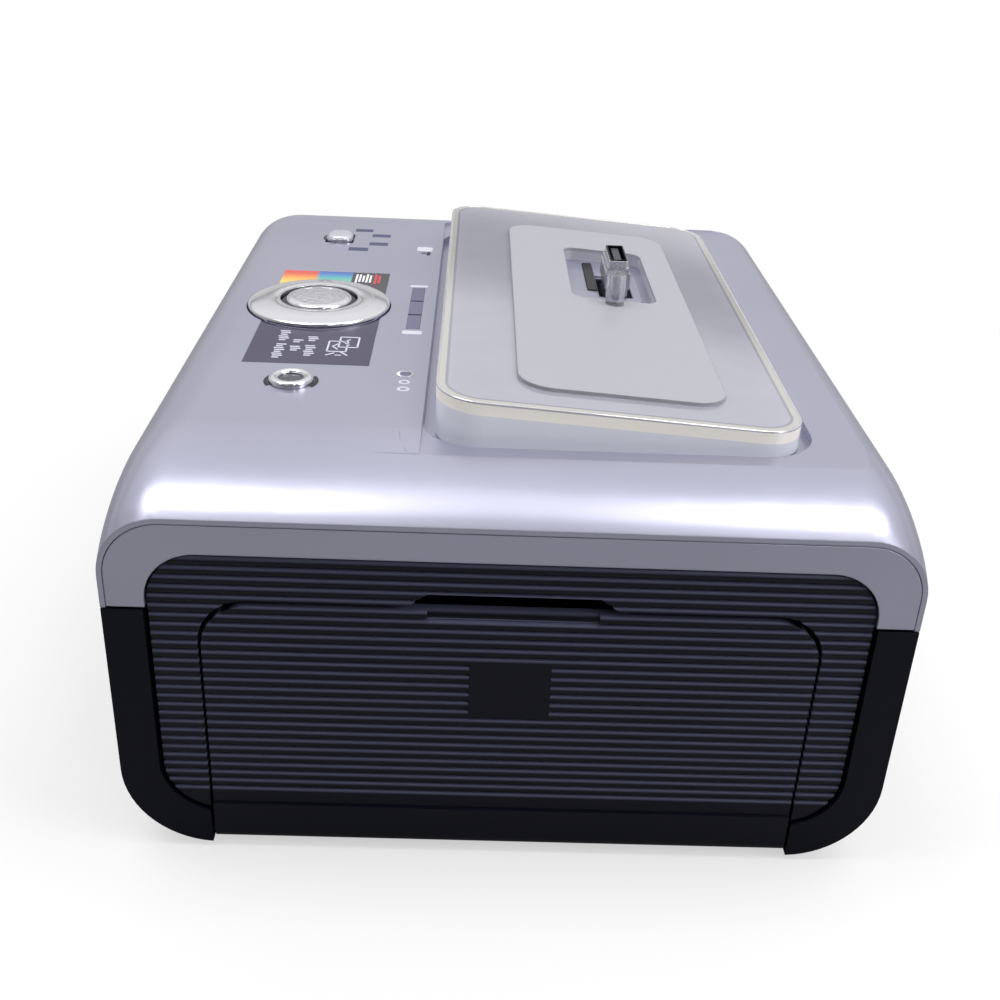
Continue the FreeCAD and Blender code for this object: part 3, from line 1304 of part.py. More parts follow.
def build_rollers():
    extra = "gear_gap + gear_width - part_gap"
    node("platen_roller", roller("PlatenRoller", "platen_y", "platen_z", "platen_radius", "shaft_radius",
                                 extra))
    node("capstan_roller", roller("CapstanRoller", "capstan_y", "capstan_z", "capstan_radius",
                                  "shaft_radius", extra))
    node("pinch_roller", roller("PinchRoller", "capstan_y", "pinch_z", "pinch_radius", "pinch_shaft_radius"))


def build_works_frame():
    """The folded steel frame: a floor pan and two side plates with bores for the shafts."""
    wide = "works_half + works_sheet"
    low = "floor_top + part_gap"
    pan = box("WorksPan", ("-(%s)" % wide, "works_front", low), (wide, "works_back", "works_floor"))
    right = box("WorksRight", ("works_half", "works_front", low), (wide, "works_back", "works_top"))
    left = box("WorksLeft", ("-(%s)" % wide, "works_front", low), ("-works_half", "works_back", "works_top"))
    holes = []
    for name, y, z, radius in (("Platen", "platen_y", "platen_z", "shaft_radius"),
                               ("Capstan", "capstan_y", "capstan_z", "shaft_radius"),
                               ("Pinch", "capstan_y", "pinch_z", "pinch_shaft_radius"),
                               ("Pivot", "head_pivot_y", "head_pivot_height", "pinch_shaft_radius")):
        holes.append(rod(name + "Bearing", "X", ("-half", y, z), radius + " + shaft_gap", "body_width"))
    for label, radius in (("idler_gear", "shaft_radius"), ("takeup_gear", "shaft_radius + shaft_gap"),
                          ("motor_pinion", "motor_shaft_radius + shaft_gap")):
        y, z, _ = WHEELS[label]
        holes.append(rod(label + "Bearing", "X", ("0", y, z), radius, "half"))
    room = "film_radius + cartridge_wall + cartridge_room_gap"
    holes.append(box("CartridgeRoom", ("-half", "supply_y - (%s)" % room, "path_height - 2 * part_gap"),
                     ("0", "takeup_y + " + room, "spool_height + " + room)))
    node("works_frame", cut("WorksFrame", fuse("WorksSolids", [pan, right, left]), holes))


def build_cartridge():
    outer = "film_radius + cartridge_gap + cartridge_wall"
    inner = "film_radius + cartridge_gap"
    length = "cartridge_left + cartridge_right"
    tubes, rooms, bores = [], [], []
    for index, y in enumerate(("supply_y", "takeup_y")):
        tubes.append(rod("SpoolTube%d" % index, "X", ("-cartridge_left", y, "spool_height"), outer, length))
        rooms.append(rod("SpoolRoom%d" % index, "X", ("-film_half - cartridge_gap", y, "spool_height"), inner,
                         "2 * (film_half + cartridge_gap)"))
        bores.append(rod("SpoolBore%d" % index, "X", ("-half", y, "spool_height"), "core_radius + shaft_gap",
                         "body_width"))
    mouths = [box("FilmMouth0", ("-film_half - cartridge_gap", "supply_y",
                                 "spool_height - (%s) - overrun" % outer),
                  ("film_half + cartridge_gap", "supply_y + " + outer + " + overrun",
                   "spool_height - film_radius / 2")),
              box("FilmMouth1", ("-film_half - cartridge_gap", "takeup_y - (%s) - overrun" % outer,
                                 "spool_height - (%s) - overrun" % outer),
                  ("film_half + cartridge_gap", "takeup_y", "spool_height - film_radius / 2"))]
    rails = [box("CartridgeRail%d" % index, (low, "supply_y", "spool_height - cartridge_rail / 2"),
                 (high, "takeup_y", "spool_height + cartridge_rail / 2"))
             for index, (low, high) in enumerate((("-cartridge_left", "-film_half - 2 * cartridge_gap"),
                                                  ("film_half + 2 * cartridge_gap", "cartridge_right")))]
    node("ribbon_cartridge", cut("RibbonCartridge", fuse("CartridgeSolids", tubes + rails),
                                 rooms + mouths + bores))
    for label, y, film in (("supply_spool", "supply_y", "film_radius"),
                           ("takeup_spool", "takeup_y", "takeup_film_radius")):
        core = rod(label + "Core", "X", ("-cartridge_left", y, "spool_height"), "core_radius",
                   length + " - part_gap")
        wrap = rod(label + "Film", "X", ("-film_half", y, "spool_height"), film, "2 * film_half")
        node(label, fuse(label + "All", [core, wrap]))


def build_head():
    """The thermal head: a ceramic bar under a finned heat sink, on arms that swing above the take-up spool."""
    low = "platen_y - head_half_y"
    high = "platen_y + head_half_y"
    top = "head_low + head_height"
    long_half = "film_half - 2 * cartridge_gap"
    node("print_head", box("HeadBar", ("-(%s)" % long_half, low, "head_low"), (long_half, high, top)))
    sink = box("SinkBlock", ("-(%s)" % long_half, low, top), (long_half, high, top + " + sink_height"))
    grooves = []
    for index in range(int(size("sink_fin_count")) - 1):
        start = "%s + sink_fin + %d * (2 * head_half_y - sink_fin) / (sink_fin_count - 1)" % (low, index)
        grooves.append(box("SinkGroove%d" % index, ("-half", start, top + " + sink_fin"),
                           ("half",
                            start + " + (2 * head_half_y - sink_fin) / (sink_fin_count - 1) - sink_fin",
                            top + " + sink_height + overrun")))
    node("heat_sink", cut("HeatSink", sink, grooves))
    arms = []
    for index, (start, end) in enumerate((("-roller_half", "-roller_half + head_arm_sheet"),
                                          ("roller_half - head_arm_sheet", "roller_half"))):
        arms.append(box("HeadArm%d" % index, (start, low, "head_pivot_height - head_arm / 2"),
                        (end, "head_pivot_y + head_arm / 2", "head_pivot_height + head_arm / 2")))
    arms.append(box("HeadBridge", ("-roller_half", low, "head_low + head_height + sink_height"),
                    ("roller_half", high, "head_low + head_height + sink_height + head_arm_sheet")))
    arms.append(box("HeadWeb0", ("-roller_half", low, "head_low + head_height + sink_height"),
                    ("-roller_half + head_arm_sheet", high, "head_pivot_height")))
    arms.append(box("HeadWeb1", ("roller_half - head_arm_sheet", low, "head_low + head_height + sink_height"),
                    ("roller_half", high, "head_pivot_height")))
    reach = "works_half + works_sheet"
    arms.append(rod("HeadPivot", "X", ("-(%s)" % reach, "head_pivot_y", "head_pivot_height"),
                    "pinch_shaft_radius", "2 * (%s)" % reach))
    node("head_frame", fuse("HeadFrame", arms))


def build_main_board():
    node("main_board", box("MainBoard", ("-works_half", "works_back + 2 * part_gap", "floor_top + overrun"),
                           ("works_half", "back - wall - back_corner / 2",
                            "floor_top + overrun + board_sheet")))


BUILDERS = [build_top_shell, build_front_bezel, build_front_panel, build_paper_door, build_base_shell,
            build_fasteners, build_paper_bay, build_pickup_roller, build_cartridge_door, build_camera_insert,
            build_connector, build_controls, build_panel_trim, build_boards, build_works_frame, build_rollers,
            build_gears, build_cartridge, build_head, build_main_board]


def write_all():
    """Check every object of the document, then write each named piece to its own file."""
    doc.recompute()
    for item in doc.Objects:
        if "Invalid" in item.State or "Error" in item.State:
            raise RuntimeError(item.Name + " failed: " + ", ".join(item.State))
    for label, item in NODES.items():
        if item.Shape.isNull() or not item.Shape.isValid():
            raise RuntimeError(label + " has no valid shape")
    os.makedirs("parts", exist_ok=True)
    for label, item in NODES.items():
        item.Shape.exportStep("parts/%s.step" % label)
        print(label, len(item.Shape.Solids), round(item.Shape.Volume, 1))


for build in BUILDERS:
    build()
write_all()
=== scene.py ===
import json
import math

import bpy
from mathutils import Matrix, Vector


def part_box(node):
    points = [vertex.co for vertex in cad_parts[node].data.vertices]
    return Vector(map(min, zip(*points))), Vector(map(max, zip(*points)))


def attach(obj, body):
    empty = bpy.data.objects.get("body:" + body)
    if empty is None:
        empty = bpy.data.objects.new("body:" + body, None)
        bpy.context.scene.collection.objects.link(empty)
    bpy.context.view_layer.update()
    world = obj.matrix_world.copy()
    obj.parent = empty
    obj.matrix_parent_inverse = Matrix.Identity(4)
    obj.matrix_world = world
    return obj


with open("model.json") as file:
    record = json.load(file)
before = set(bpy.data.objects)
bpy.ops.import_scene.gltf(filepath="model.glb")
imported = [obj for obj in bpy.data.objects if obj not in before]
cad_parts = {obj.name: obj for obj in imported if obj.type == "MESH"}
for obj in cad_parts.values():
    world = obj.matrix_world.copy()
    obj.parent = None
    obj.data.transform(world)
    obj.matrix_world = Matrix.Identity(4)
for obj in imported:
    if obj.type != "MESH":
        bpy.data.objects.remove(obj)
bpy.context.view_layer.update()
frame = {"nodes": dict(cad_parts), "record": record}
nodes = frame["nodes"]

# Lengths below are in millimetres and are turned to metres by MM.
MM = 0.001


def in_mm(box):
    """The lowest and the highest corner of a box, in millimetres."""
    low, high = box
    return low / MM, high / MM


def middle(box):
    """The middle of a box, in millimetres."""
    low, high = in_mm(box)
    return (low + high) / 2


# Height of the silver deck, which the label's film is flush with
DECK = in_mm(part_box("control_label"))[1].z
PRINT_THICK = 0.05
# how far a piece that is flush with the deck stands over it, so that the two don't fight
FLUSH = 0.02
# heights of thick and thin ink on the deck, both sunk a little so that there is no gap below
THICK_INK = (DECK - 0.02, DECK + 0.06)
THIN_INK = (DECK - 0.02, DECK + 0.03)

# Where the faces of the ring and the keys begin, sunk in the solids below them
FACE_FOOT = 83.2

RING = middle(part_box("nav_ring")).xy
POWER_KEY = middle(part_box("power_button")).xy
SIZE_KEY = middle(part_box("size_button")).xy

# The line of the lamp column, and its nearest and furthest lamp
LAMPS_X = middle(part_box("status_window")).x
LAMP_NEAR_Y, LAMP_FAR_Y = -41.0, 48.2

# The clear insert's top slopes from left to right: its height at each side
INSERT_LEFT_TOP, INSERT_RIGHT_TOP = 90.9, 85.8
INSERT_CORNER = 9.0
# how thick its plate is, above the skirt
PLATE = 2.6

# The ribs of the door and of the panel round it: where the lowest valley begins, the pitch, a valley's width
RIB_LOW, RIB_PITCH, RIB_VALLEY = 14.6, 2.032, 1.25
# the bare plate in the door's middle and the bar under its ribs
PLATE_HALF, PLATE_LOW, PLATE_HIGH = 7.8, 33.7, 46.5
DOOR_BAR_TOP = 13.8


# Shader helpers


def linear(code):
    """Turns an sRGB hex colour into the linear colour that the shaders take."""
    parts = [int(code[i:i + 2], 16) / 255 for i in (1, 3, 5)]
    return tuple(c / 12.92 if c <= 0.04045 else ((c + 0.055) / 1.055) ** 2.4 for c in parts) + (1.0,)


def per_mm(size):
    """The scale of a pattern whose features are size millimetres across. Real grain and brushing are
    finer than the picture can show, so here they are drawn about half a millimetre across or coarser."""
    return 1 / (size * MM)


def add(tree, kind, inputs=(), **settings):
    """Adds a shader node, sets its properties, and fills its inputs, by name or in order. An input
    takes a value, another node's output, or a node, which stands for its first output in use."""
    made = tree.nodes.new("ShaderNode" + kind)
    for name, value in settings.items():
        setattr(made, name, value)
    for name, value in inputs.items() if isinstance(inputs, dict) else enumerate(inputs):
        if isinstance(value, bpy.types.Node):
            value = next(output for output in value.outputs if output.enabled)
        if isinstance(value, bpy.types.NodeSocket):
            tree.links.new(value, made.inputs[name])
        else:
            made.inputs[name].default_value = value
    return made


def new_material(name):
    """A new material, its empty tree and the coordinates that its patterns follow."""
    material = bpy.data.materials.new(name)
    material.use_nodes = True
    tree = material.node_tree
    tree.nodes.clear()
    return material, tree, add(tree, "TexCoord").outputs["Object"]


# The slots of a Mix node that mixes colours
SHARE, FIRST, SECOND = 0, 6, 7
# A noise seldom leaves this range, so it is stretched to the whole of a colour or gloss range.
NOISE_LOW, NOISE_HIGH = 0.3, 0.7
# IOR of cast acrylic
ACRYLIC_IOR = 1.49


# Finishes


def moulded(name, colour, other, rough, grain, grain_depth, metallic=0.0, edge=0.25, coat=0.0, speck=0.35,
            shine=0.5):
    """Injection moulded plastic or film: a fine spark-eroded, painted or printed grain, a slight drift of
    shade over the part, and edges that a small radius breaks, so that they catch the light."""
    material, tree, place = new_material(name)
    drift = add(tree, "TexNoise", {"Vector": place, "Scale": per_mm(38)})
    fine = add(tree, "TexNoise", {"Vector": place, "Scale": per_mm(grain), "Detail": 3.0})
    share = add(tree, "MapRange", {"Value": drift, "From Min": NOISE_LOW, "From Max": NOISE_HIGH})
    shade = add(tree, "Mix", {SHARE: share, FIRST: linear(colour), SECOND: linear(other)}, data_type="RGBA")
    gloss = add(tree, "MapRange", {"Value": fine, "From Min": NOISE_LOW, "From Max": NOISE_HIGH,
                                   "To Min": rough * (1 - speck / 2), "To Max": rough * (1 + speck / 2)})
    soft_edge = add(tree, "Bevel", {"Radius": edge * MM})
    bump = add(tree, "Bump", {"Height": fine, "Distance": grain_depth * MM, "Normal": soft_edge})
    shader = add(tree, "BsdfPrincipled", {"Base Color": shade, "Roughness": gloss, "Metallic": metallic,
                                          "Normal": bump, "Coat Weight": coat, "Specular IOR Level": shine})
    add(tree, "OutputMaterial", {"Surface": shader})
    return material


def ribbed_black():
    """Black ABS with fine level ribs. Each rib is rounded between its valleys, so that its upper shoulder
    catches a thin line of light, and the shoulder is painted a paler black as a painted highlight; the bare
    plate and the bar under the ribs are plain."""
    material, tree, place = new_material("Black_ABS_ribbed")
    at = add(tree, "SeparateXYZ", {"Vector": place})
    height = at.outputs["Z"]
    # a pitch is counted from half way up the wall of the valley below a rib
    lowest_rib = (RIB_LOW + 0.75 * RIB_VALLEY) * MM
    rise = add(tree, "Math", (height, lowest_rib), operation="SUBTRACT")
    pitches = add(tree, "Math", (rise, RIB_PITCH * MM), operation="DIVIDE")
    along = add(tree, "Math", (pitches,), operation="FRACT")
    # 0 there and 1 half way down the wall of the valley above; the rest of the pitch is the valley's floor
    across = add(tree, "Math", (along, 1 - RIB_VALLEY / 2 / RIB_PITCH), operation="DIVIDE")
    # a rib is highest a little below its middle, and falls away with the square of the distance
    crest, fall = 0.42, -1.6
    off = add(tree, "Math", (across, crest), operation="SUBTRACT")
    square = add(tree, "Math", (off, off), operation="MULTIPLY")
    round_over = add(tree, "Math", (square, fall), operation="MULTIPLY")
    # the plate is a box round its middle, and the ribs are all above the bar but the plate
    aside = add(tree, "Math", (at.outputs["X"], 0.0, PLATE_HALF * MM), operation="COMPARE")
    level = (PLATE_LOW + PLATE_HIGH) / 2 * MM
    beside = add(tree, "Math", (height, level, (PLATE_HIGH - PLATE_LOW) / 2 * MM), operation="COMPARE")
    plate = add(tree, "Math", (aside, beside), operation="MULTIPLY")
    over_bar = add(tree, "Math", (height, DOOR_BAR_TOP * MM), operation="GREATER_THAN")
    ribs = add(tree, "Math", (over_bar, plate), operation="SUBTRACT")
    rounding = add(tree, "Math", (round_over, ribs), operation="MULTIPLY")
    fine = add(tree, "TexNoise", {"Vector": place, "Scale": per_mm(0.6), "Detail": 3.0})
    soft_edge = add(tree, "Bevel", {"Radius": 0.2 * MM})
    ridge = add(tree, "Bump", {"Height": rounding, "Distance": 0.62 * MM, "Normal": soft_edge})
    bump = add(tree, "Bump", {"Height": fine, "Distance": 0.006 * MM, "Normal": ridge})
    gloss = add(tree, "MapRange", {"Value": fine, "To Min": 0.28, "To Max": 0.40})
    # painted highlight: the shoulder of each rib is painted a paler, bluer black for the line of light it
    # catches
    shoulder = add(tree, "MapRange", {"Value": across, "From Min": 0.52, "From Max": 0.92})
    painted_highlight = add(tree, "Math", (shoulder, ribs), operation="MULTIPLY")
    tone = add(tree, "Mix", {SHARE: painted_highlight, FIRST: linear("#090B18"), SECOND: linear("#565870")},
               data_type="RGBA")
    shader = add(tree, "BsdfPrincipled", {"Base Color": tone, "Roughness": gloss, "Normal": bump,
                                          "Specular IOR Level": 0.2})
    add(tree, "OutputMaterial", {"Surface": shader})
    return material


def metal(name, colour, rough, brush=(1.0, 1.0, 1.0), depth=0.004, edge=0.2):
    """Bare or plated metal. A brushed or drawn one has long fine lines along the axis that brush
    stretches."""
    material, tree, place = new_material(name)
    stretch = add(tree, "Mapping", {"Vector": place, "Scale": brush})
    lines = add(tree, "TexNoise", {"Vector": stretch, "Scale": per_mm(0.5)})
    gloss = add(tree, "MapRange", {"Value": lines, "From Min": NOISE_LOW, "From Max": NOISE_HIGH,
                                   "To Min": rough * 0.8, "To Max": rough * 1.2})
    soft_edge = add(tree, "Bevel", {"Radius": edge * MM})
    bump = add(tree, "Bump", {"Height": lines, "Distance": depth * MM, "Normal": soft_edge})
    shader = add(tree, "BsdfPrincipled", {"Base Color": linear(colour), "Roughness": gloss, "Metallic": 1.0,
                                          "Normal": bump})
    add(tree, "OutputMaterial", {"Surface": shader})
    return material


def pebbled(name, colour, metallic, depth):
    """A moulded face with a coarse pebbled grain, each pebble about a millimetre across."""
    material, tree, place = new_material(name)
    pebbles = add(tree, "TexVoronoi", {"Vector": place, "Scale": per_mm(0.9)}, feature="SMOOTH_F1")
    fine = add(tree, "TexNoise", {"Vector": place, "Scale": per_mm(0.5)})
    share = add(tree, "MapRange", {"Value": pebbles, "To Min": 1.0, "To Max": 0.72})
    gloss = add(tree, "MapRange", {"Value": fine, "To Min": 0.16, "To Max": 0.30})
    bump = add(tree, "Bump", {"Height": pebbles, "Distance": depth * MM}, invert=True)
    tone = add(tree, "Mix", {SHARE: share, FIRST: linear("#6E6E78"), SECOND: linear(colour)},
               data_type="RGBA")
    shader = add(tree, "BsdfPrincipled", {"Base Color": tone, "Roughness": gloss, "Metallic": metallic,
                                          "Normal": bump})
    add(tree, "OutputMaterial", {"Surface": shader})
    return material


def polished_edge():
    """Flame polished acrylic edge: glossy, clear and bright where it bends the light."""
    material, tree, place = new_material("Flame_polished_acrylic")
    wave = add(tree, "TexNoise", {"Vector": place, "Scale": per_mm(6), "Detail": 1.0})
    tone = add(tree, "Mix", {SHARE: wave, FIRST: linear("#D8D8E0"), SECOND: linear("#ECECF0")},
               data_type="RGBA")
    gloss = add(tree, "MapRange", {"Value": wave, "To Min": 0.05, "To Max": 0.16})
    shader = add(tree, "BsdfPrincipled", {"Base Color": tone, "Roughness": gloss, "Metallic": 0.55,
                                          "Transmission Weight": 0.3, "IOR": ACRYLIC_IOR})
    add(tree, "OutputMaterial", {"Surface": shader})
    return material


def printed(name, colour, rough=0.4):
    """Screen-printed ink or a dull coat: flat, slightly uneven in gloss."""
    material, tree, place = new_material(name)
    fleck = add(tree, "TexNoise", {"Vector": place, "Scale": per_mm(0.4)})
    gloss = add(tree, "MapRange", {"Value": fleck, "To Min": rough * 0.8, "To Max": rough * 1.2})
    shader = add(tree, "BsdfPrincipled", {"Base Color": linear(colour), "Roughness": gloss})
    add(tree, "OutputMaterial", {"Surface": shader})
    return material


def clear_acrylic():
    """Cast acrylic plate over a silver bed: polished on top, with a milky pale beige sawn rim and a bright
    front skirt, both of which glow with painted light, a pale band of painted light on the top along the rim
    with a line of painted shade inside it, a frosted middle and a clear post."""
    material, tree, place = new_material("Clear_cast_acrylic")
    low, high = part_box("camera_insert")
    at = add(tree, "SeparateXYZ", {"Vector": place})
    # how high a point lies over the sloping top
    top = add(tree, "MapRange", {"Value": at.outputs["X"], "From Min": low.x, "From Max": high.x,
                                 "To Min": INSERT_LEFT_TOP * MM, "To Max": INSERT_RIGHT_TOP * MM})
    above = add(tree, "Math", (at.outputs["Z"], top), operation="SUBTRACT")
    # how far it lies inside the plate's rounded outline, up to the corner's radius
    corner = INSERT_CORNER * MM
    straight = ((high.x - low.x) / 2 - corner, (high.y - low.y) / 2 - corner, 1.0)
    reach = place
    for operation, *other in (("SUBTRACT", (low + high) / 2), ("ABSOLUTE",), ("SUBTRACT", straight),
                              ("MAXIMUM", (0, 0, 0)), ("LENGTH",)):
        reach = add(tree, "VectorMath", (reach, *other), operation=operation)
    depth = add(tree, "Math", (corner, reach), operation="SUBTRACT")
    # upright faces: the sawn rim of the plate, the skirt below it and the wall of the plug's window
    facing = add(tree, "SeparateXYZ", {"Vector": add(tree, "NewGeometry").outputs["Normal"]})
    side = add(tree, "Math", (facing.outputs["Z"], 0.6), operation="LESS_THAN")
    outer = add(tree, "Math", (depth, 3.0 * MM), operation="LESS_THAN")
    outer = add(tree, "Math", (outer, side), operation="MULTIPLY")
    in_plate = add(tree, "Math", (above, -PLATE * MM), operation="GREATER_THAN")
    rim = add(tree, "Math", (outer, in_plate), operation="MULTIPLY")
    skirt = add(tree, "Math", (outer, rim), operation="SUBTRACT")
    under_top = add(tree, "Math", (above, -0.02 * MM), operation="LESS_THAN")
    window_wall = add(tree, "Math", (side, outer), operation="SUBTRACT")
    window_wall = add(tree, "Math", (window_wall, under_top), operation="MULTIPLY")
    # the frosted raised middle and the post that stands up from it
    post = add(tree, "Math", (above, 0.9 * MM), operation="GREATER_THAN")
    raised = add(tree, "Math", (above, 0.02 * MM), operation="GREATER_THAN")
    stage = add(tree, "Math", (raised, post), operation="SUBTRACT")
    # painted light and shade: a pale band is painted on the top along the rim, with a thin line of painted
    # shade inside it
    level = add(tree, "Math", (1.0, side), operation="SUBTRACT")
    painted_rim_band = add(tree, "Math", (depth, 1.7 * MM), operation="LESS_THAN")
    painted_rim_band = add(tree, "Math", (painted_rim_band, level), operation="MULTIPLY")
    painted_shade_line = add(tree, "Math", (depth, 2.0 * MM, 0.3 * MM), operation="COMPARE")
    painted_shade_line = add(tree, "Math", (painted_shade_line, level), operation="MULTIPLY")
    cloud = add(tree, "TexNoise", {"Vector": place, "Scale": per_mm(9)})
    tone = add(tree, "Mix", {SHARE: cloud, FIRST: linear("#BFBFCD"), SECOND: linear("#C9C9D5")},
               data_type="RGBA")
    for where, strength, colour in ((painted_rim_band, 0.75, "#DEDACD"), (painted_shade_line, 0.55, "#8E8E9A"),
                                    (stage, 1.0, "#AEAEB7"), (rim, 1.0, "#F4F0E6"), (skirt, 1.0, "#EEF0F8"),
                                    (window_wall, 1.0, "#C6C6D0"), (post, 1.0, "#E6E6EC")):
        share = add(tree, "Math", (where, strength), operation="MULTIPLY")
        tone = add(tree, "Mix", {SHARE: share, FIRST: tone, SECOND: linear(colour)}, data_type="RGBA")
    milk = add(tree, "Math", (outer, window_wall), operation="MAXIMUM")
    milk = add(tree, "Math", (milk, stage), operation="MAXIMUM")
    # the top lets some light through, milky faces little, and the post most of it
    through = add(tree, "MapRange", {"Value": milk, "To Min": 0.35, "To Max": 0.12})
    clear_post = add(tree, "Math", (post, 0.8), operation="MULTIPLY")
    through = add(tree, "Math", (through, clear_post), operation="MAXIMUM")
    # only the polished top mirrors the room
    dull = add(tree, "Math", (milk, post), operation="MAXIMUM")
    mirror = add(tree, "MapRange", {"Value": dull, "To Min": 0.2, "To Max": 0.0})
    gloss = add(tree, "MapRange", {"Value": stage, "To Min": 0.06, "To Max": 0.36})
    frost = add(tree, "TexNoise", {"Vector": place, "Scale": per_mm(0.5)})
    soft_edge = add(tree, "Bevel", {"Radius": 0.4 * MM})
    bump = add(tree, "Bump", {"Height": frost, "Distance": 0.002 * MM, "Normal": soft_edge})
    # painted light: the rim and skirt glow by emission, standing in for light that enters the polished top
    # and leaves by them
    glow_share = add(tree, "Math", (skirt, 0.4, rim), operation="MULTIPLY_ADD")
    painted_glow = add(tree, "Math", (glow_share, 0.22), operation="MULTIPLY")
    shader = add(tree, "BsdfPrincipled", {"Base Color": tone, "Roughness": gloss, "Metallic": mirror,
                                          "Transmission Weight": through, "IOR": ACRYLIC_IOR, "Normal": bump,
                                          "Emission Color": tone, "Emission Strength": painted_glow})
    add(tree, "OutputMaterial", {"Surface": shader})
    return material


def colour_film():
    """Printed label film: warm colours over the left part, cool ones over the next, black at its end."""
    material, tree, place = new_material("Printed_colour_film")
    low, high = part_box("colour_strip")
    at = add(tree, "SeparateXYZ", {"Vector": place})
    along = add(tree, "MapRange", {"Value": at.outputs["Y"], "From Min": low.y, "From Max": high.y})
    bands = []
    for codes in (("#F0D267", "#EFA24A", "#DE5A3C", "#D8433C"), ("#8CCB9B", "#5FB5A8", "#3F86C4", "#3A4FA8")):
        band = add(tree, "ValToRGB", {"Fac": along})
        marks = band.color_ramp.elements
        while len(marks) < len(codes):
            marks.new(0.5)
        for mark, spot, code in zip(marks, (0.45, 0.66, 0.84, 1.0), codes):
            mark.position = spot
            mark.color = linear(code)
        bands.append(band)
    # where the warm band blends into the cool one, and where the black end begins
    turn = add(tree, "MapRange", {"Value": at.outputs["X"], "From Min": -50.2 * MM, "From Max": -49.2 * MM})
    tone = add(tree, "Mix", {SHARE: turn, FIRST: bands[0], SECOND: bands[1]}, data_type="RGBA")
    end = add(tree, "MapRange", {"Value": at.outputs["X"], "From Min": -40.9 * MM, "From Max": -40.7 * MM})
    tone = add(tree, "Mix", {SHARE: end, FIRST: tone, SECOND: linear("#24222A")}, data_type="RGBA")
    fleck = add(tree, "TexNoise", {"Vector": place, "Scale": per_mm(0.6)})
    gloss = add(tree, "MapRange", {"Value": fleck, "To Min": 0.2, "To Max": 0.3})
    shader = add(tree, "BsdfPrincipled", {"Base Color": tone, "Roughness": gloss, "Coat Weight": 0.3})
    add(tree, "OutputMaterial", {"Surface": shader})
    return material


def silver_paint(name, edge):
    """Metallic silver paint on ABS: lavender grey and satin, with a fine flake."""
    return moulded(name, "#B3B3C6", "#AEAEC1", 0.30, 0.5, 0.0012, metallic=0.72, edge=edge, speck=0.12)


MATERIALS = {
    "silver_abs": silver_paint("Silver_painted_ABS", 0.4),
    # spark-eroded: dull and deep, with a faint blue cast
    "black_abs": moulded("Black_ABS_spark_grain", "#090B17", "#0A0C1A", 0.38, 0.6, 0.008, edge=0.3,
                         shine=0.14),
    # satin plating that mirrors the lamps as soft white bands
    "bright_chrome": metal("Satin_chrome_on_ABS", "#E4E4E9", 0.16),
    # thin folded sheet, bright and almost smooth
    "plug_steel": metal("Nickel_plated_shell", "#D2D2D8", 0.28, depth=0.0004, edge=0.04),
    # rolled sheet and drawn wire, with faint lines along the depth
    "steel": metal("Zinc_plated_steel", "#A6A8AB", 0.32, (1.0, 0.06, 1.0)),
    # extruded bars, with faint lines across the width
    "aluminium": metal("Extruded_aluminium", "#B9BCC0", 0.34, (0.05, 1.0, 1.0)),
    # ground rubber, matt and nearly black
    "rubber": moulded("Black_nitrile_rubber", "#101010", "#161616", 0.75, 0.6, 0.02),
    # plain inner mouldings with a dull eroded face
    "grey_plastic": moulded("Grey_ABS", "#46484C", "#3D3F44", 0.5, 0.6, 0.01),
    # uncoloured gear plastic, milky with a slight wax gloss
    "white_nylon": moulded("Natural_acetal", "#DCDAD0", "#E3E1D8", 0.38, 0.8, 0.006),
    # green lacquer over a woven board, whose weave shows as a faint grain
    "board": moulded("Solder_mask_on_glass_epoxy", "#0E4A2B", "#115433", 0.32, 1.2, 0.006),
    # smooth printed film with an even satin gloss
    "label_dark": moulded("Purple_grey_label_film", "#46435A", "#403D52", 0.30, 1.0, 0.0006, edge=0.0,
                          speck=0.05, shine=0.3),
    "label_colour": colour_film(),
    # tinted and polished, so that it reflects more than it shows
    "smoke_window": moulded("Smoked_acrylic_window", "#4A4866", "#56547A", 0.16, 1.0, 0.001, coat=0.3),
    # glossy film wound tight, in dark red and purple
    "ink_film": moulded("Wound_dye_film", "#5A2452", "#6A2A4A", 0.2, 0.4, 0.01),
    "clear_acrylic": clear_acrylic(),
}

# Finishes that only the pieces of this script or single nodes have
RIBBED = ribbed_black()
WHITE_INK = printed("White_screen_ink", "#ECECF2")
NAVY_INK = printed("Navy_screen_ink", "#3C3F63")
# painted shade: black that stands for the shade in the slots and gaps beside the keys and the plug
SHADE_BLACK = printed("Black_painted_shade", "#0C0C12")
RED_INK = printed("Red_screen_ink", "#C33A46")
GREY_INK = printed("Grey_screen_ink", "#7C7C90")
PALE_INK = printed("Pale_silver_screen_ink", "#CFCFDC")
# painted shade: a dull dark coat on the slope round the middle key, for the shade in the gap between the key
# and the ring
GAP_SHADE = printed("Dark_painted_gap_shade", "#3A3846", 0.5)
FLUSH_SILVER = silver_paint("Silver_painted_ABS_flush", 0.0)
# a brighter coat on the small key
SATIN_SILVER = moulded("Bright_silver_painted_ABS", "#D2D2DC", "#CACAD6", 0.30, 0.5, 0.0012, metallic=0.6,
                       edge=0.3)
PEBBLED_CHROME = pebbled("Pebbled_chrome_on_ABS", "#DCDCE2", 0.9, 0.14)
DARK_PEBBLE = pebbled("Pebbled_dark_film", "#4A4A56", 0.4, 0.04)
POLISHED_EDGE = polished_edge()
# dull gold flash over the contact strips
GILT = metal("Gilt_contact", "#D9B25A", 0.25, depth=0.0004, edge=0.05)

OWN_FINISH = {"front_panel": RIBBED, "paper_door": RIBBED}
slot_of = {row["node"]: row["material_slot"] for row in frame["record"]["subparts"]}
for name, part in nodes.items():
    part.data.materials.clear()
    part.data.materials.append(OWN_FINISH.get(name, MATERIALS[slot_of[name]]))


# Ways to make a piece


def deselect():
    """Leaves edit mode and selects nothing."""
    if bpy.context.object and bpy.context.object.mode == "EDIT":
        bpy.ops.object.mode_set(mode="OBJECT")
    bpy.ops.object.select_all(action="DESELECT")


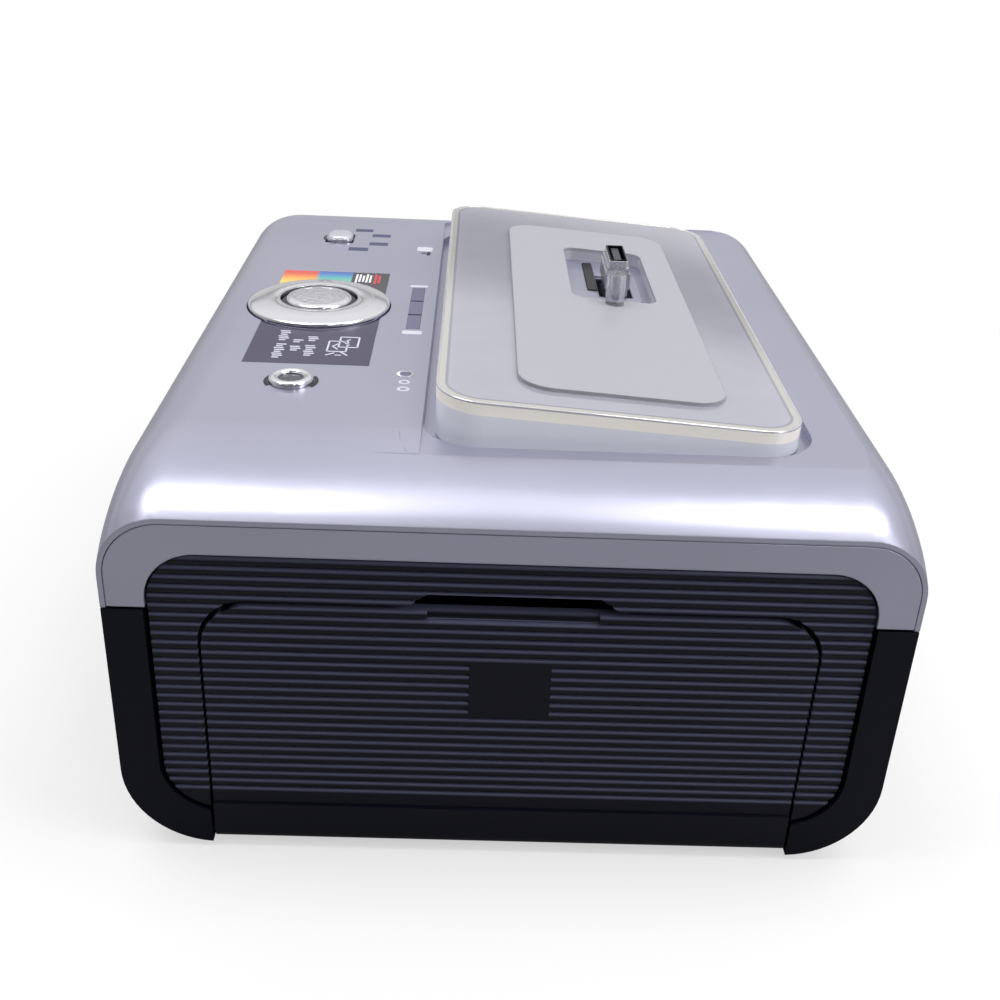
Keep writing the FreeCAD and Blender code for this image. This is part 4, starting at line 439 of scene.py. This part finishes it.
def finished(name, material, body):
    """Puts the shaped mesh at the origin, turns its faces outwards and fixes it to its body."""
    piece = bpy.context.object
    if piece.mode == "EDIT":
        bpy.ops.mesh.select_all(action="SELECT")
        bpy.ops.mesh.normals_make_consistent(inside=False)
        bpy.ops.object.mode_set(mode="OBJECT")
    bpy.ops.object.transform_apply(location=True, rotation=True, scale=True)
    piece.name = name
    piece.data.name = name
    piece.data.materials.clear()
    piece.data.materials.append(material)
    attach(piece, body)
    return piece


def new_block(x, y, z, width, depth, height, turn=0.0):
    """A block by its middle, its size and its turn in degrees about the upright line through its middle.
    It joins the mesh being edited, and out of edit mode it is a new piece."""
    bpy.ops.mesh.primitive_cube_add(size=1, location=(x * MM, y * MM, z * MM),
                                    rotation=(0, 0, math.radians(turn)),
                                    scale=(width * MM, depth * MM, height * MM))
    block = bpy.context.object
    if block.mode == "OBJECT":
        bpy.ops.object.transform_apply(location=True, rotation=True, scale=True)
    return block


def print_marks(name, marks, material, body, height):
    """Thin printed marks at one height: each is (x, y, width, depth, turn in degrees)."""
    deselect()
    for x, y, width, depth, turn in marks:
        new_block(x, y, height, width, depth, PRINT_THICK, turn)
        bpy.ops.object.mode_set(mode="EDIT")
    finished(name, material, body)


def select_edges(piece, wanted):
    """Selects the edges of the mesh being edited whose ends have heights that are wanted."""
    bpy.ops.mesh.select_all(action="DESELECT")
    bpy.ops.object.mode_set(mode="OBJECT")
    for edge in piece.data.edges:
        edge.select = wanted(*(piece.data.vertices[end].co.z for end in edge.vertices))
    bpy.ops.object.mode_set(mode="EDIT")


def rounded_slab(name, centre, width, depth, heights, corner, material, body, crown=0.0):
    """A slab with rounded corners: a block, its upright edges bevelled, then its top rim broken."""
    low, high = heights
    deselect()
    slab = new_block(*centre, (low + high) / 2, width, depth, high - low)
    bpy.ops.object.mode_set(mode="EDIT")
    bpy.ops.mesh.select_mode(type="EDGE")
    select_edges(slab, lambda one, other: abs(one - other) > (high - low) * MM / 2)
    bpy.ops.mesh.bevel(offset=corner * MM, segments=8, affect="EDGES")
    if crown:
        select_edges(slab, lambda one, other: min(one, other) > (high - 0.001) * MM)
        bpy.ops.mesh.bevel(offset=crown * MM, segments=4, affect="EDGES")
    return finished(name, material, body)


def cut_out(piece, boxes):
    """Takes boxes, (x, y, z of the middle and x, y, z size), out of a piece."""
    for box in boxes:
        deselect()
        tool = new_block(*box)
        deselect()
        bpy.context.view_layer.objects.active = piece
        piece.select_set(True)
        less = piece.modifiers.new("room", "BOOLEAN")
        less.operation = "DIFFERENCE"
        less.solver = "EXACT"
        less.object = tool
        bpy.ops.object.modifier_apply(modifier=less.name)
        bpy.data.objects.remove(tool)


def spin_round(piece, centre, start, sweep, steps):
    """Spins the mesh being edited round the Z axis, then turns it to start and stands it at centre."""
    bpy.ops.mesh.select_all(action="SELECT")
    bpy.ops.mesh.spin(steps=steps, angle=math.radians(sweep), center=(0, 0, 0), axis=(0, 0, 1))
    bpy.ops.mesh.select_all(action="SELECT")
    bpy.ops.mesh.remove_doubles(threshold=0.002 * MM)
    bpy.ops.mesh.normals_make_consistent(inside=False)
    bpy.ops.object.mode_set(mode="OBJECT")
    x, y = centre
    piece.location = (x * MM, y * MM, 0)
    piece.rotation_euler = (0, 0, math.radians(start))
    bpy.ops.object.transform_apply(location=True, rotation=True, scale=True)


def arc_band(name, centre, inner, outer, heights, start, sweep, steps, material, body):
    """A flat ring or part of one: a small upright rectangle spun round the upright line through centre."""
    low, high = heights
    deselect()
    bpy.ops.mesh.primitive_plane_add(size=1, location=(0, 0, 0), rotation=(math.radians(90), 0, 0))
    band = bpy.context.object
    band.scale = ((outer - inner) * MM, (high - low) * MM, 1)
    band.location = ((inner + outer) / 2 * MM, 0, (low + high) / 2 * MM)
    bpy.ops.object.transform_apply(location=True, rotation=True, scale=True)
    bpy.ops.object.mode_set(mode="EDIT")
    spin_round(band, centre, start, sweep, steps)
    finished(name, material, body)


def turned(name, centre, profile, material, body):
    """A turned piece: its profile, (radius, height) pairs, is drawn point by point by extruding one
    vertex, then spun round the upright line through centre. The ends meet or lie on the axis."""
    deselect()
    bpy.ops.mesh.primitive_plane_add(size=1 * MM, location=(0, 0, 0))
    made = bpy.context.object
    bpy.ops.object.mode_set(mode="EDIT")
    bpy.ops.mesh.select_mode(type="VERT")
    bpy.ops.mesh.select_all(action="SELECT")
    bpy.ops.mesh.merge(type="CENTER")
    bpy.ops.transform.translate(value=(profile[0][0] * MM, 0, profile[0][1] * MM))
    for (radius, height), (wider, higher) in zip(profile, profile[1:]):
        bpy.ops.mesh.extrude_region_move(TRANSFORM_OT_translate={
            "value": ((wider - radius) * MM, 0, (higher - height) * MM)})
    spin_round(made, centre, start=0, sweep=360, steps=96)
    bpy.ops.object.shade_smooth_by_angle(angle=math.radians(50))
    finished(name, material, body)


# The pieces that dress the solids


def mark_controls():
    """The small print on the label and the strip, and the dashes round the size button."""
    top = DECK + PRINT_THICK / 2
    # three columns of word-like dashes stand for the lines of small print, read from the left side
    stroke_pitch = 1.15
    words = []
    for x, runs in ((-52.0, ((-19.9, 7.4), (-29.6, 9.6))), (-48.6, ((-23.2, 2.8), (-27.6, 4.4))),
                    (-45.3, ((-21.3, 4.4), (-28.8, 7.6)))):
        for y, length in runs:
            for stroke in range(int(length / stroke_pitch)):
                words.append((x + (0.3 if stroke % 3 == 1 else 0.0),
                              y - length / 2 + stroke_pitch * (stroke + 0.5),
                              2.2 if stroke % 3 else 1.5, 0.6, 0))
    print_marks("label_dashes", words, PALE_INK, "case", top)
    # two overlapping picture frames with a hill in each, and three short strokes beside them
    width, depth = 4.2, 6.4
    icon = [(-40.4, -30.8, 2.4, 0.45, 40), (-37.4, -30.4, 2.6, 0.45, -50), (-38.6, -31.4, 1.4, 0.45, 0)]
    for x, y in ((-39.2, -26.0), (-36.9, -23.2)):
        icon += [(x - width / 2, y, 0.4, depth, 0), (x + width / 2, y, 0.4, depth, 0),
                 (x, y - depth / 2, width, 0.5, 0), (x, y + depth / 2, width, 0.5, 0),
                 (x - 0.5, y - 0.9, 0.4, 2.4, 35), (x - 0.5, y + 0.9, 0.4, 2.2, -35)]
    print_marks("label_picture_icon", icon, PALE_INK, "case", top)
    bars = [(-39.6 + 0.9 * i, 23.6 + 0.4 * (i % 2), 0.5, 7.0 - 0.9 * (i % 3), 0) for i in range(5)]
    print_marks("strip_white_bars", bars, WHITE_INK, "case", top)
    bars = [(-34.7, 23.4, 0.65, 8.2, 0), (-33.75, 23.4, 0.65, 6.6, 0)]
    print_marks("strip_red_bars", bars, RED_INK, "case", top)
    # small print round the size button
    dashes = [(-41.5, 69.3, 5.0, 2.8, 0), (-36.2, 64.3, 5.2, 2.8, 0), (-36.4, 55.9, 5.2, 3.0, 0),
              (-41.6, 50.2, 5.4, 3.2, 0)]
    print_marks("size_dashes", dashes, NAVY_INK, "case", DECK)


def dress_buttons():
    """The faces of the ring and the keys, with the collar and the black crescents of painted shade round
    them.
    """
    chrome = MATERIALS["bright_chrome"]
    # the ring is one soft dome of satin chrome from its outer edge to its bore
    turned("ring_dome", RING, [(9.32, FACE_FOOT), (17.04, FACE_FOOT), (17.04, 83.62), (16.85, 83.86),
                               (16.3, 84.1), (15.4, 84.36), (14.2, 84.62), (12.9, 84.82), (11.7, 84.92),
                               (10.7, 84.93), (10.0, 84.84), (9.55, 84.62), (9.32, 84.3), (9.32, FACE_FOOT)],
           chrome, "ring")
    # the key in it: an outer slope painted dark as the shade of the gap round it, a polished rim, and a face
    # with a pebbled grain
    turned("key_gap_shade", RING, [(7.9, FACE_FOOT), (9.0, FACE_FOOT), (9.0, 83.86), (8.4, 84.16), (7.9, 84.42),
                               (7.9, FACE_FOOT)], GAP_SHADE, "ok_key")
    turned("key_rim", RING, [(6.2, 84.0), (7.95, 84.0), (7.95, 84.55), (7.7, 84.86), (7.25, 85.12),
                             (6.7, 85.26), (6.2, 85.24), (6.2, 84.0)], chrome, "ok_key")
    turned("key_face", RING, [(0.0, 84.6), (6.25, 84.6), (6.25, 85.2), (5.2, 85.26), (3.6, 85.33),
                              (1.8, 85.38), (0.0, 85.4)], PEBBLED_CHROME, "ok_key")
    # a small arrow head cut in the far side of the ring
    arrow = [(RING.x + side * 0.9, RING.y + 13.0, 0.3, 2.4, side * 42) for side in (-1, 1)]
    print_marks("ring_arrow", arrow, GREY_INK, "ring", 84.86)
    # the power button: a silver collar flush with the deck, two black crescents that paint the shade of the
    # slots beside it, a round chrome rim
    arc_band("power_collar", POWER_KEY, 4.75, 6.4, (DECK - 0.8, DECK + FLUSH), 0, 360, 96, FLUSH_SILVER,
             "case")
    for side, start in (("left", 214), ("right", 34)):
        arc_band("power_slot_shade_" + side, POWER_KEY, 4.8, 5.7, THIN_INK, start, 68, 24, SHADE_BLACK,
                 "case")
    turned("power_rim", POWER_KEY, [(2.7, FACE_FOOT), (4.62, FACE_FOOT), (4.62, 83.75), (4.4, 84.05),
                                    (3.95, 84.26), (3.45, 84.28), (3.0, 84.1), (2.75, 83.8),
                                    (2.7, FACE_FOOT)], chrome, "power_key")
    turned("power_face", POWER_KEY, [(0.0, FACE_FOOT), (2.68, FACE_FOOT), (2.68, 83.5), (1.6, 83.6),
                                     (0.0, 83.64)], DARK_PEBBLE, "power_key")
    # the size button is a cushion of bright silver, with a black crescent on its left that paints the shade
    # in the gap round it
    rounded_slab("size_cap", SIZE_KEY, 7.26, 8.46, (82.7, 84.4), 3.2, SATIN_SILVER, "size_key",
                 crown=1.3)
    arc_band("size_gap_shade", SIZE_KEY, 4.2, 4.8, THIN_INK, 208, 56, 24, SHADE_BLACK, "case")


def lamp_rail():
    """The deck carried on past the lamp column, up to the groove round the insert. Its near end bends
    down with the front roll of the case."""
    rail = rounded_slab("panel_lip", (-22.6, 0.95), 8.2, 159.1, (81.7, DECK + FLUSH), 0.3, FLUSH_SILVER,
                        "case")
    # it is cut across at each of these places, and its top is let down there
    drops = ((-69.0, 0.0), (-72.0, 0.12), (-74.5, 0.24), (-76.5, 0.46), (-78.6, 0.72))
    bpy.ops.object.mode_set(mode="EDIT")
    bpy.ops.mesh.select_mode(type="VERT")
    for y, drop in drops:
        bpy.ops.mesh.select_all(action="SELECT")
        bpy.ops.mesh.bisect(plane_co=(0, y * MM, 0), plane_no=(0, 1, 0))
    for y, drop in drops:
        bpy.ops.mesh.select_all(action="DESELECT")
        bpy.ops.object.mode_set(mode="OBJECT")
        for point in rail.data.vertices:
            point.select = point.co.z > 82 * MM and abs(point.co.y - y * MM) < 0.4 * MM
        bpy.ops.object.mode_set(mode="EDIT")
        bpy.ops.transform.translate(value=(0, 0, -drop * MM))
    bpy.ops.object.mode_set(mode="OBJECT")
    cut_out(rail, [(LAMPS_X, LAMP_NEAR_Y, 83, 2.6, 2.6, 4), (LAMPS_X, 2.25, 83, 3.3, 30.7, 4),
                   (LAMPS_X, LAMP_FAR_Y, 83, 3.3, 3.2, 4)])


def mark_lamps():
    """The lamp column: a small picture by each lamp, and a bar at each end of the three windows."""
    for name, y, width, depth, corner in (("lamp_bar_far", 18.9, 4.6, 1.6, 0.6),
                                          ("lamp_bar_near", -15.4, 4.6, 2.4, 0.6),
                                          ("lamp_picture_far", 52.3, 4.4, 4.4, 1.2)):
        rounded_slab(name, (LAMPS_X, y), width, depth, THICK_INK, corner, PALE_INK, "case")
    for name, y, outer in (("lamp_picture_near", -45.6, 1.2), ("lamp_picture_low", -49.4, 1.3)):
        arc_band(name, (LAMPS_X, y), 0.7, outer, THICK_INK, 0, 360, 32, PALE_INK, "case")
    arc_band("lamp_rim_near", (LAMPS_X, LAMP_NEAR_Y), 1.25, 1.9, (DECK - 0.02, DECK + 0.1), 0, 360, 48,
             MATERIALS["bright_chrome"], "case")


def dress_connector():
    """What stands round the plug: a bright band, the plate round its well and a black bar of painted shade
    beside it.
    """
    low, high = in_mm(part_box("connector_plug"))
    shroud_low, shroud_high = in_mm(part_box("connector_shroud"))
    x, y = ((low + high) / 2).xy
    size = high - low
    shroud = shroud_high - shroud_low
    # bright band round the black head of the plug
    band = rounded_slab("plug_band", (x, y), size.x + 0.5, size.y + 0.5,
                        (shroud_high.z - 0.05, high.z - 0.25), 0.5, MATERIALS["plug_steel"], "connector",
                        crown=0.15)
    cut_out(band, [(x, y, 93, size.x + 0.04, size.y + 0.04, 8)])
    # silver plate that closes the gap round the rocking shroud, with room for it to rock
    plate = rounded_slab("plug_well", (x, y), 13.0, 21.0, (84.6, 85.1), 1.0, MATERIALS["silver_abs"], "case")
    cut_out(plate, [(x, y, 84, shroud.x + 2.2, shroud.y + 0.5, 4)])
    # painted shade: a black bar in the slot beside it, standing for the shade in that slot
    rounded_slab("slot_shade_bar", (20.5, 23.5), 2.45, 22.8, (82.3, 86.05), 0.5, SHADE_BLACK, "case",
                 crown=0.2)


def dress_insert():
    """A polished bead along the top edge of the clear plate, which catches the lamps."""
    low, high = in_mm(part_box("camera_insert"))
    slope = math.atan2(INSERT_LEFT_TOP - INSERT_RIGHT_TOP, high.x - low.x)
    # how far the middle of the bead lies inside the plate's outline and under its top
    inset, sunk = 0.25, 0.2
    deselect()
    bpy.ops.mesh.primitive_plane_add(size=1, location=(0, 0, 0))
    bead = bpy.context.object
    bead.scale = ((high.x - low.x - 2 * inset) * MM / math.cos(slope), (high.y - low.y - 2 * inset) * MM, 1)
    bpy.ops.object.transform_apply(location=True, rotation=True, scale=True)
    bpy.ops.object.mode_set(mode="EDIT")
    bpy.ops.mesh.select_mode(type="VERT")
    bpy.ops.mesh.select_all(action="SELECT")
    bpy.ops.mesh.bevel(offset=(INSERT_CORNER - inset) * MM, segments=10, affect="VERTICES")
    bpy.ops.mesh.select_all(action="SELECT")
    bpy.ops.mesh.delete(type="ONLY_FACE")
    bpy.ops.object.mode_set(mode="OBJECT")
    bead.rotation_euler = (0, slope, 0)
    bead.location = ((low.x + high.x) / 2 * MM, (low.y + high.y) / 2 * MM,
                     ((INSERT_LEFT_TOP + INSERT_RIGHT_TOP) / 2 - sunk) * MM)
    bpy.ops.object.transform_apply(location=True, rotation=True, scale=True)
    bpy.ops.object.convert(target="CURVE")
    bead.data.bevel_depth = 0.32 * MM
    bead.data.bevel_resolution = 3
    bpy.ops.object.convert(target="MESH")
    bpy.ops.object.shade_smooth_by_angle(angle=math.radians(60))
    bpy.ops.object.mode_set(mode="EDIT")
    finished("insert_bead", POLISHED_EDGE, "case")


def dress_sockets():
    """Black tongues over the blades of the two data sockets, with two gilt contacts on each face."""
    front = in_mm(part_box("usb_socket"))[1].x - 0.75
    for name, node, half_y, half_z in (("usb_tongue", "usb_socket", 2.7, 2.45),
                                       ("host_tongue", "host_socket", 1.55, 3.1)):
        y, z = middle(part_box(node)).yz
        rounded_slab(name, (front - 4, y), 8, 2 * half_y, (z - half_z, z + half_z), 0.5, MATERIALS["rubber"],
                     "case", crown=0.25)
        deselect()
        for side in (-1, 1):
            new_block(front - 3.6, y + side * 0.45 * half_y, z, 6, 0.4 * half_y, 2 * half_z + 0.08)
            bpy.ops.object.mode_set(mode="EDIT")
        finished(name + "_contacts", GILT, "case")


mark_controls()
dress_buttons()
lamp_rail()
mark_lamps()
dress_connector()
dress_insert()
dress_sockets()


# Stage, lamps and camera, all in metres


def make_stage():
    """The pale paper that the printer stands on."""
    deselect()
    bpy.ops.mesh.primitive_plane_add(size=6, location=(0, 0, 0))
    floor = bpy.context.object
    floor.name = "floor"
    material, tree, place = new_material("Pale_paper_sweep")
    by_camera = add(tree, "LightPath").outputs["Is Camera Ray"]
    mottle = add(tree, "TexNoise", {"Vector": place, "Scale": per_mm(60)})
    # the table throws back less light on the object than the white that the camera sees
    pale = add(tree, "Math", (by_camera, 0.54, 0.32), operation="MULTIPLY_ADD")
    level = add(tree, "Math", (mottle, 0.03, pale), operation="MULTIPLY_ADD")
    paper = add(tree, "BsdfPrincipled", {"Base Color": level, "Roughness": 0.8})
    # further than the object's shadow reaches, the camera sees the paper as plain white
    reach = add(tree, "VectorMath", (place,), operation="LENGTH")
    away = add(tree, "MapRange", {"Value": reach, "From Min": 0.10, "From Max": 0.34, "To Min": 0.55})
    share = add(tree, "Math", (by_camera, away), operation="MULTIPLY")
    white = add(tree, "Emission", {"Color": (1, 1, 1, 1), "Strength": 1.0})
    both = add(tree, "MixShader", (share, paper, white))
    add(tree, "OutputMaterial", {"Surface": both})
    floor.data.materials.append(material)


def make_world():
    """A soft room, light behind the printer and dim behind the camera, that the camera sees as white."""
    world = bpy.data.worlds.new("Soft_room")
    bpy.context.scene.world = world
    world.use_nodes = True
    tree = world.node_tree
    tree.nodes.clear()
    way = add(tree, "SeparateXYZ", {"Vector": add(tree, "TexCoord").outputs["Generated"]})
    back = add(tree, "MapRange", {"Value": way.outputs["Y"], "From Min": -0.8, "From Max": 0.5,
                                  "To Min": 0.14, "To Max": 0.85})
    rise = add(tree, "MapRange", {"Value": way.outputs["Z"], "From Min": 0.15, "From Max": 0.60,
                                  "To Min": 0.80, "To Max": 1.12})
    # a dark beam crosses the far wall, and glossy things show it as a soft grey bar
    over = add(tree, "MapRange", {"Value": way.outputs["Z"], "From Min": 0.235, "From Max": 0.255})
    under = add(tree, "MapRange", {"Value": way.outputs["Z"], "From Min": 0.315, "From Max": 0.290})
    far = add(tree, "Math", (way.outputs["Y"], 0.0), operation="GREATER_THAN")
    beam = add(tree, "Math", (over, under), operation="MULTIPLY")
    beam = add(tree, "Math", (beam, far), operation="MULTIPLY")
    shade = add(tree, "MapRange", {"Value": beam, "To Min": 1.0, "To Max": 0.2})
    room = add(tree, "Math", (back, rise), operation="MULTIPLY")
    room = add(tree, "Math", (room, shade), operation="MULTIPLY")
    by_camera = add(tree, "LightPath").outputs["Is Camera Ray"]
    seen = add(tree, "Math", (room, by_camera), operation="MAXIMUM")
    glow = add(tree, "Background", {"Color": (1, 1, 1, 1), "Strength": seen})
    add(tree, "OutputWorld", {"Surface": glow})


def make_lamp(name, place, aim, width, depth, watts):
    """An area lamp that stands at place and shines towards aim."""
    data = bpy.data.lights.new(name, "AREA")
    data.shape = "RECTANGLE"
    data.size = width
    data.size_y = depth
    data.energy = watts
    made = bpy.data.objects.new(name, data)
    bpy.context.scene.collection.objects.link(made)
    made.location = place
    made.rotation_euler = (Vector(aim) - Vector(place)).to_track_quat("-Z", "Y").to_euler()


def make_camera(place, yaw, pitch, roll, lens):
    """The camera of the photograph, by its turn to the right, its tilt down and its roll in degrees."""
    yaw, pitch, roll = (math.radians(angle) for angle in (yaw, pitch, roll))
    ahead = Vector((math.sin(yaw) * math.cos(pitch), math.cos(yaw) * math.cos(pitch), -math.sin(pitch)))
    right = ahead.cross(Vector((0, 0, 1))).normalized()
    above = right.cross(ahead)
    side = math.cos(roll) * right + math.sin(roll) * above
    top = -math.sin(roll) * right + math.cos(roll) * above
    data = bpy.data.cameras.new("photo_camera")
    data.sensor_width = 36
    data.lens = lens
    data.clip_start = 0.01
    made = bpy.data.objects.new("photo_camera", data)
    bpy.context.scene.collection.objects.link(made)
    made.matrix_world = Matrix.Translation(place) @ Matrix((side, top, -ahead)).transposed().to_4x4()
    bpy.context.scene.camera = made


make_stage()
make_world()
make_lamp("left_softbox", (-0.36, -0.06, 0.9), (-0.05, -0.04, 0.05), 0.42, 0.5, 3.0)
make_lamp("right_softbox", (0.42, -0.06, 0.9), (0.05, -0.04, 0.05), 0.42, 0.5, 3.0)
make_lamp("middle_softbox", (0.02, 0.05, 1.0), (0, 0, 0.05), 0.5, 0.4, 0.6)
make_lamp("side_fill", (0.75, -0.42, 0.5), (0.05, -0.09, 0.04), 0.35, 0.5, 2.4)
make_lamp("front_strip", (0.41, -0.93, 0.81), (0.05, -0.09, 0.04), 0.18, 0.3, 0.8)
make_camera((-0.00939, -0.28687, 0.18178), yaw=1.7515, pitch=27.5518, roll=2.6675, lens=44.57)
bpy.context.scene.view_settings.view_transform = "Standard"
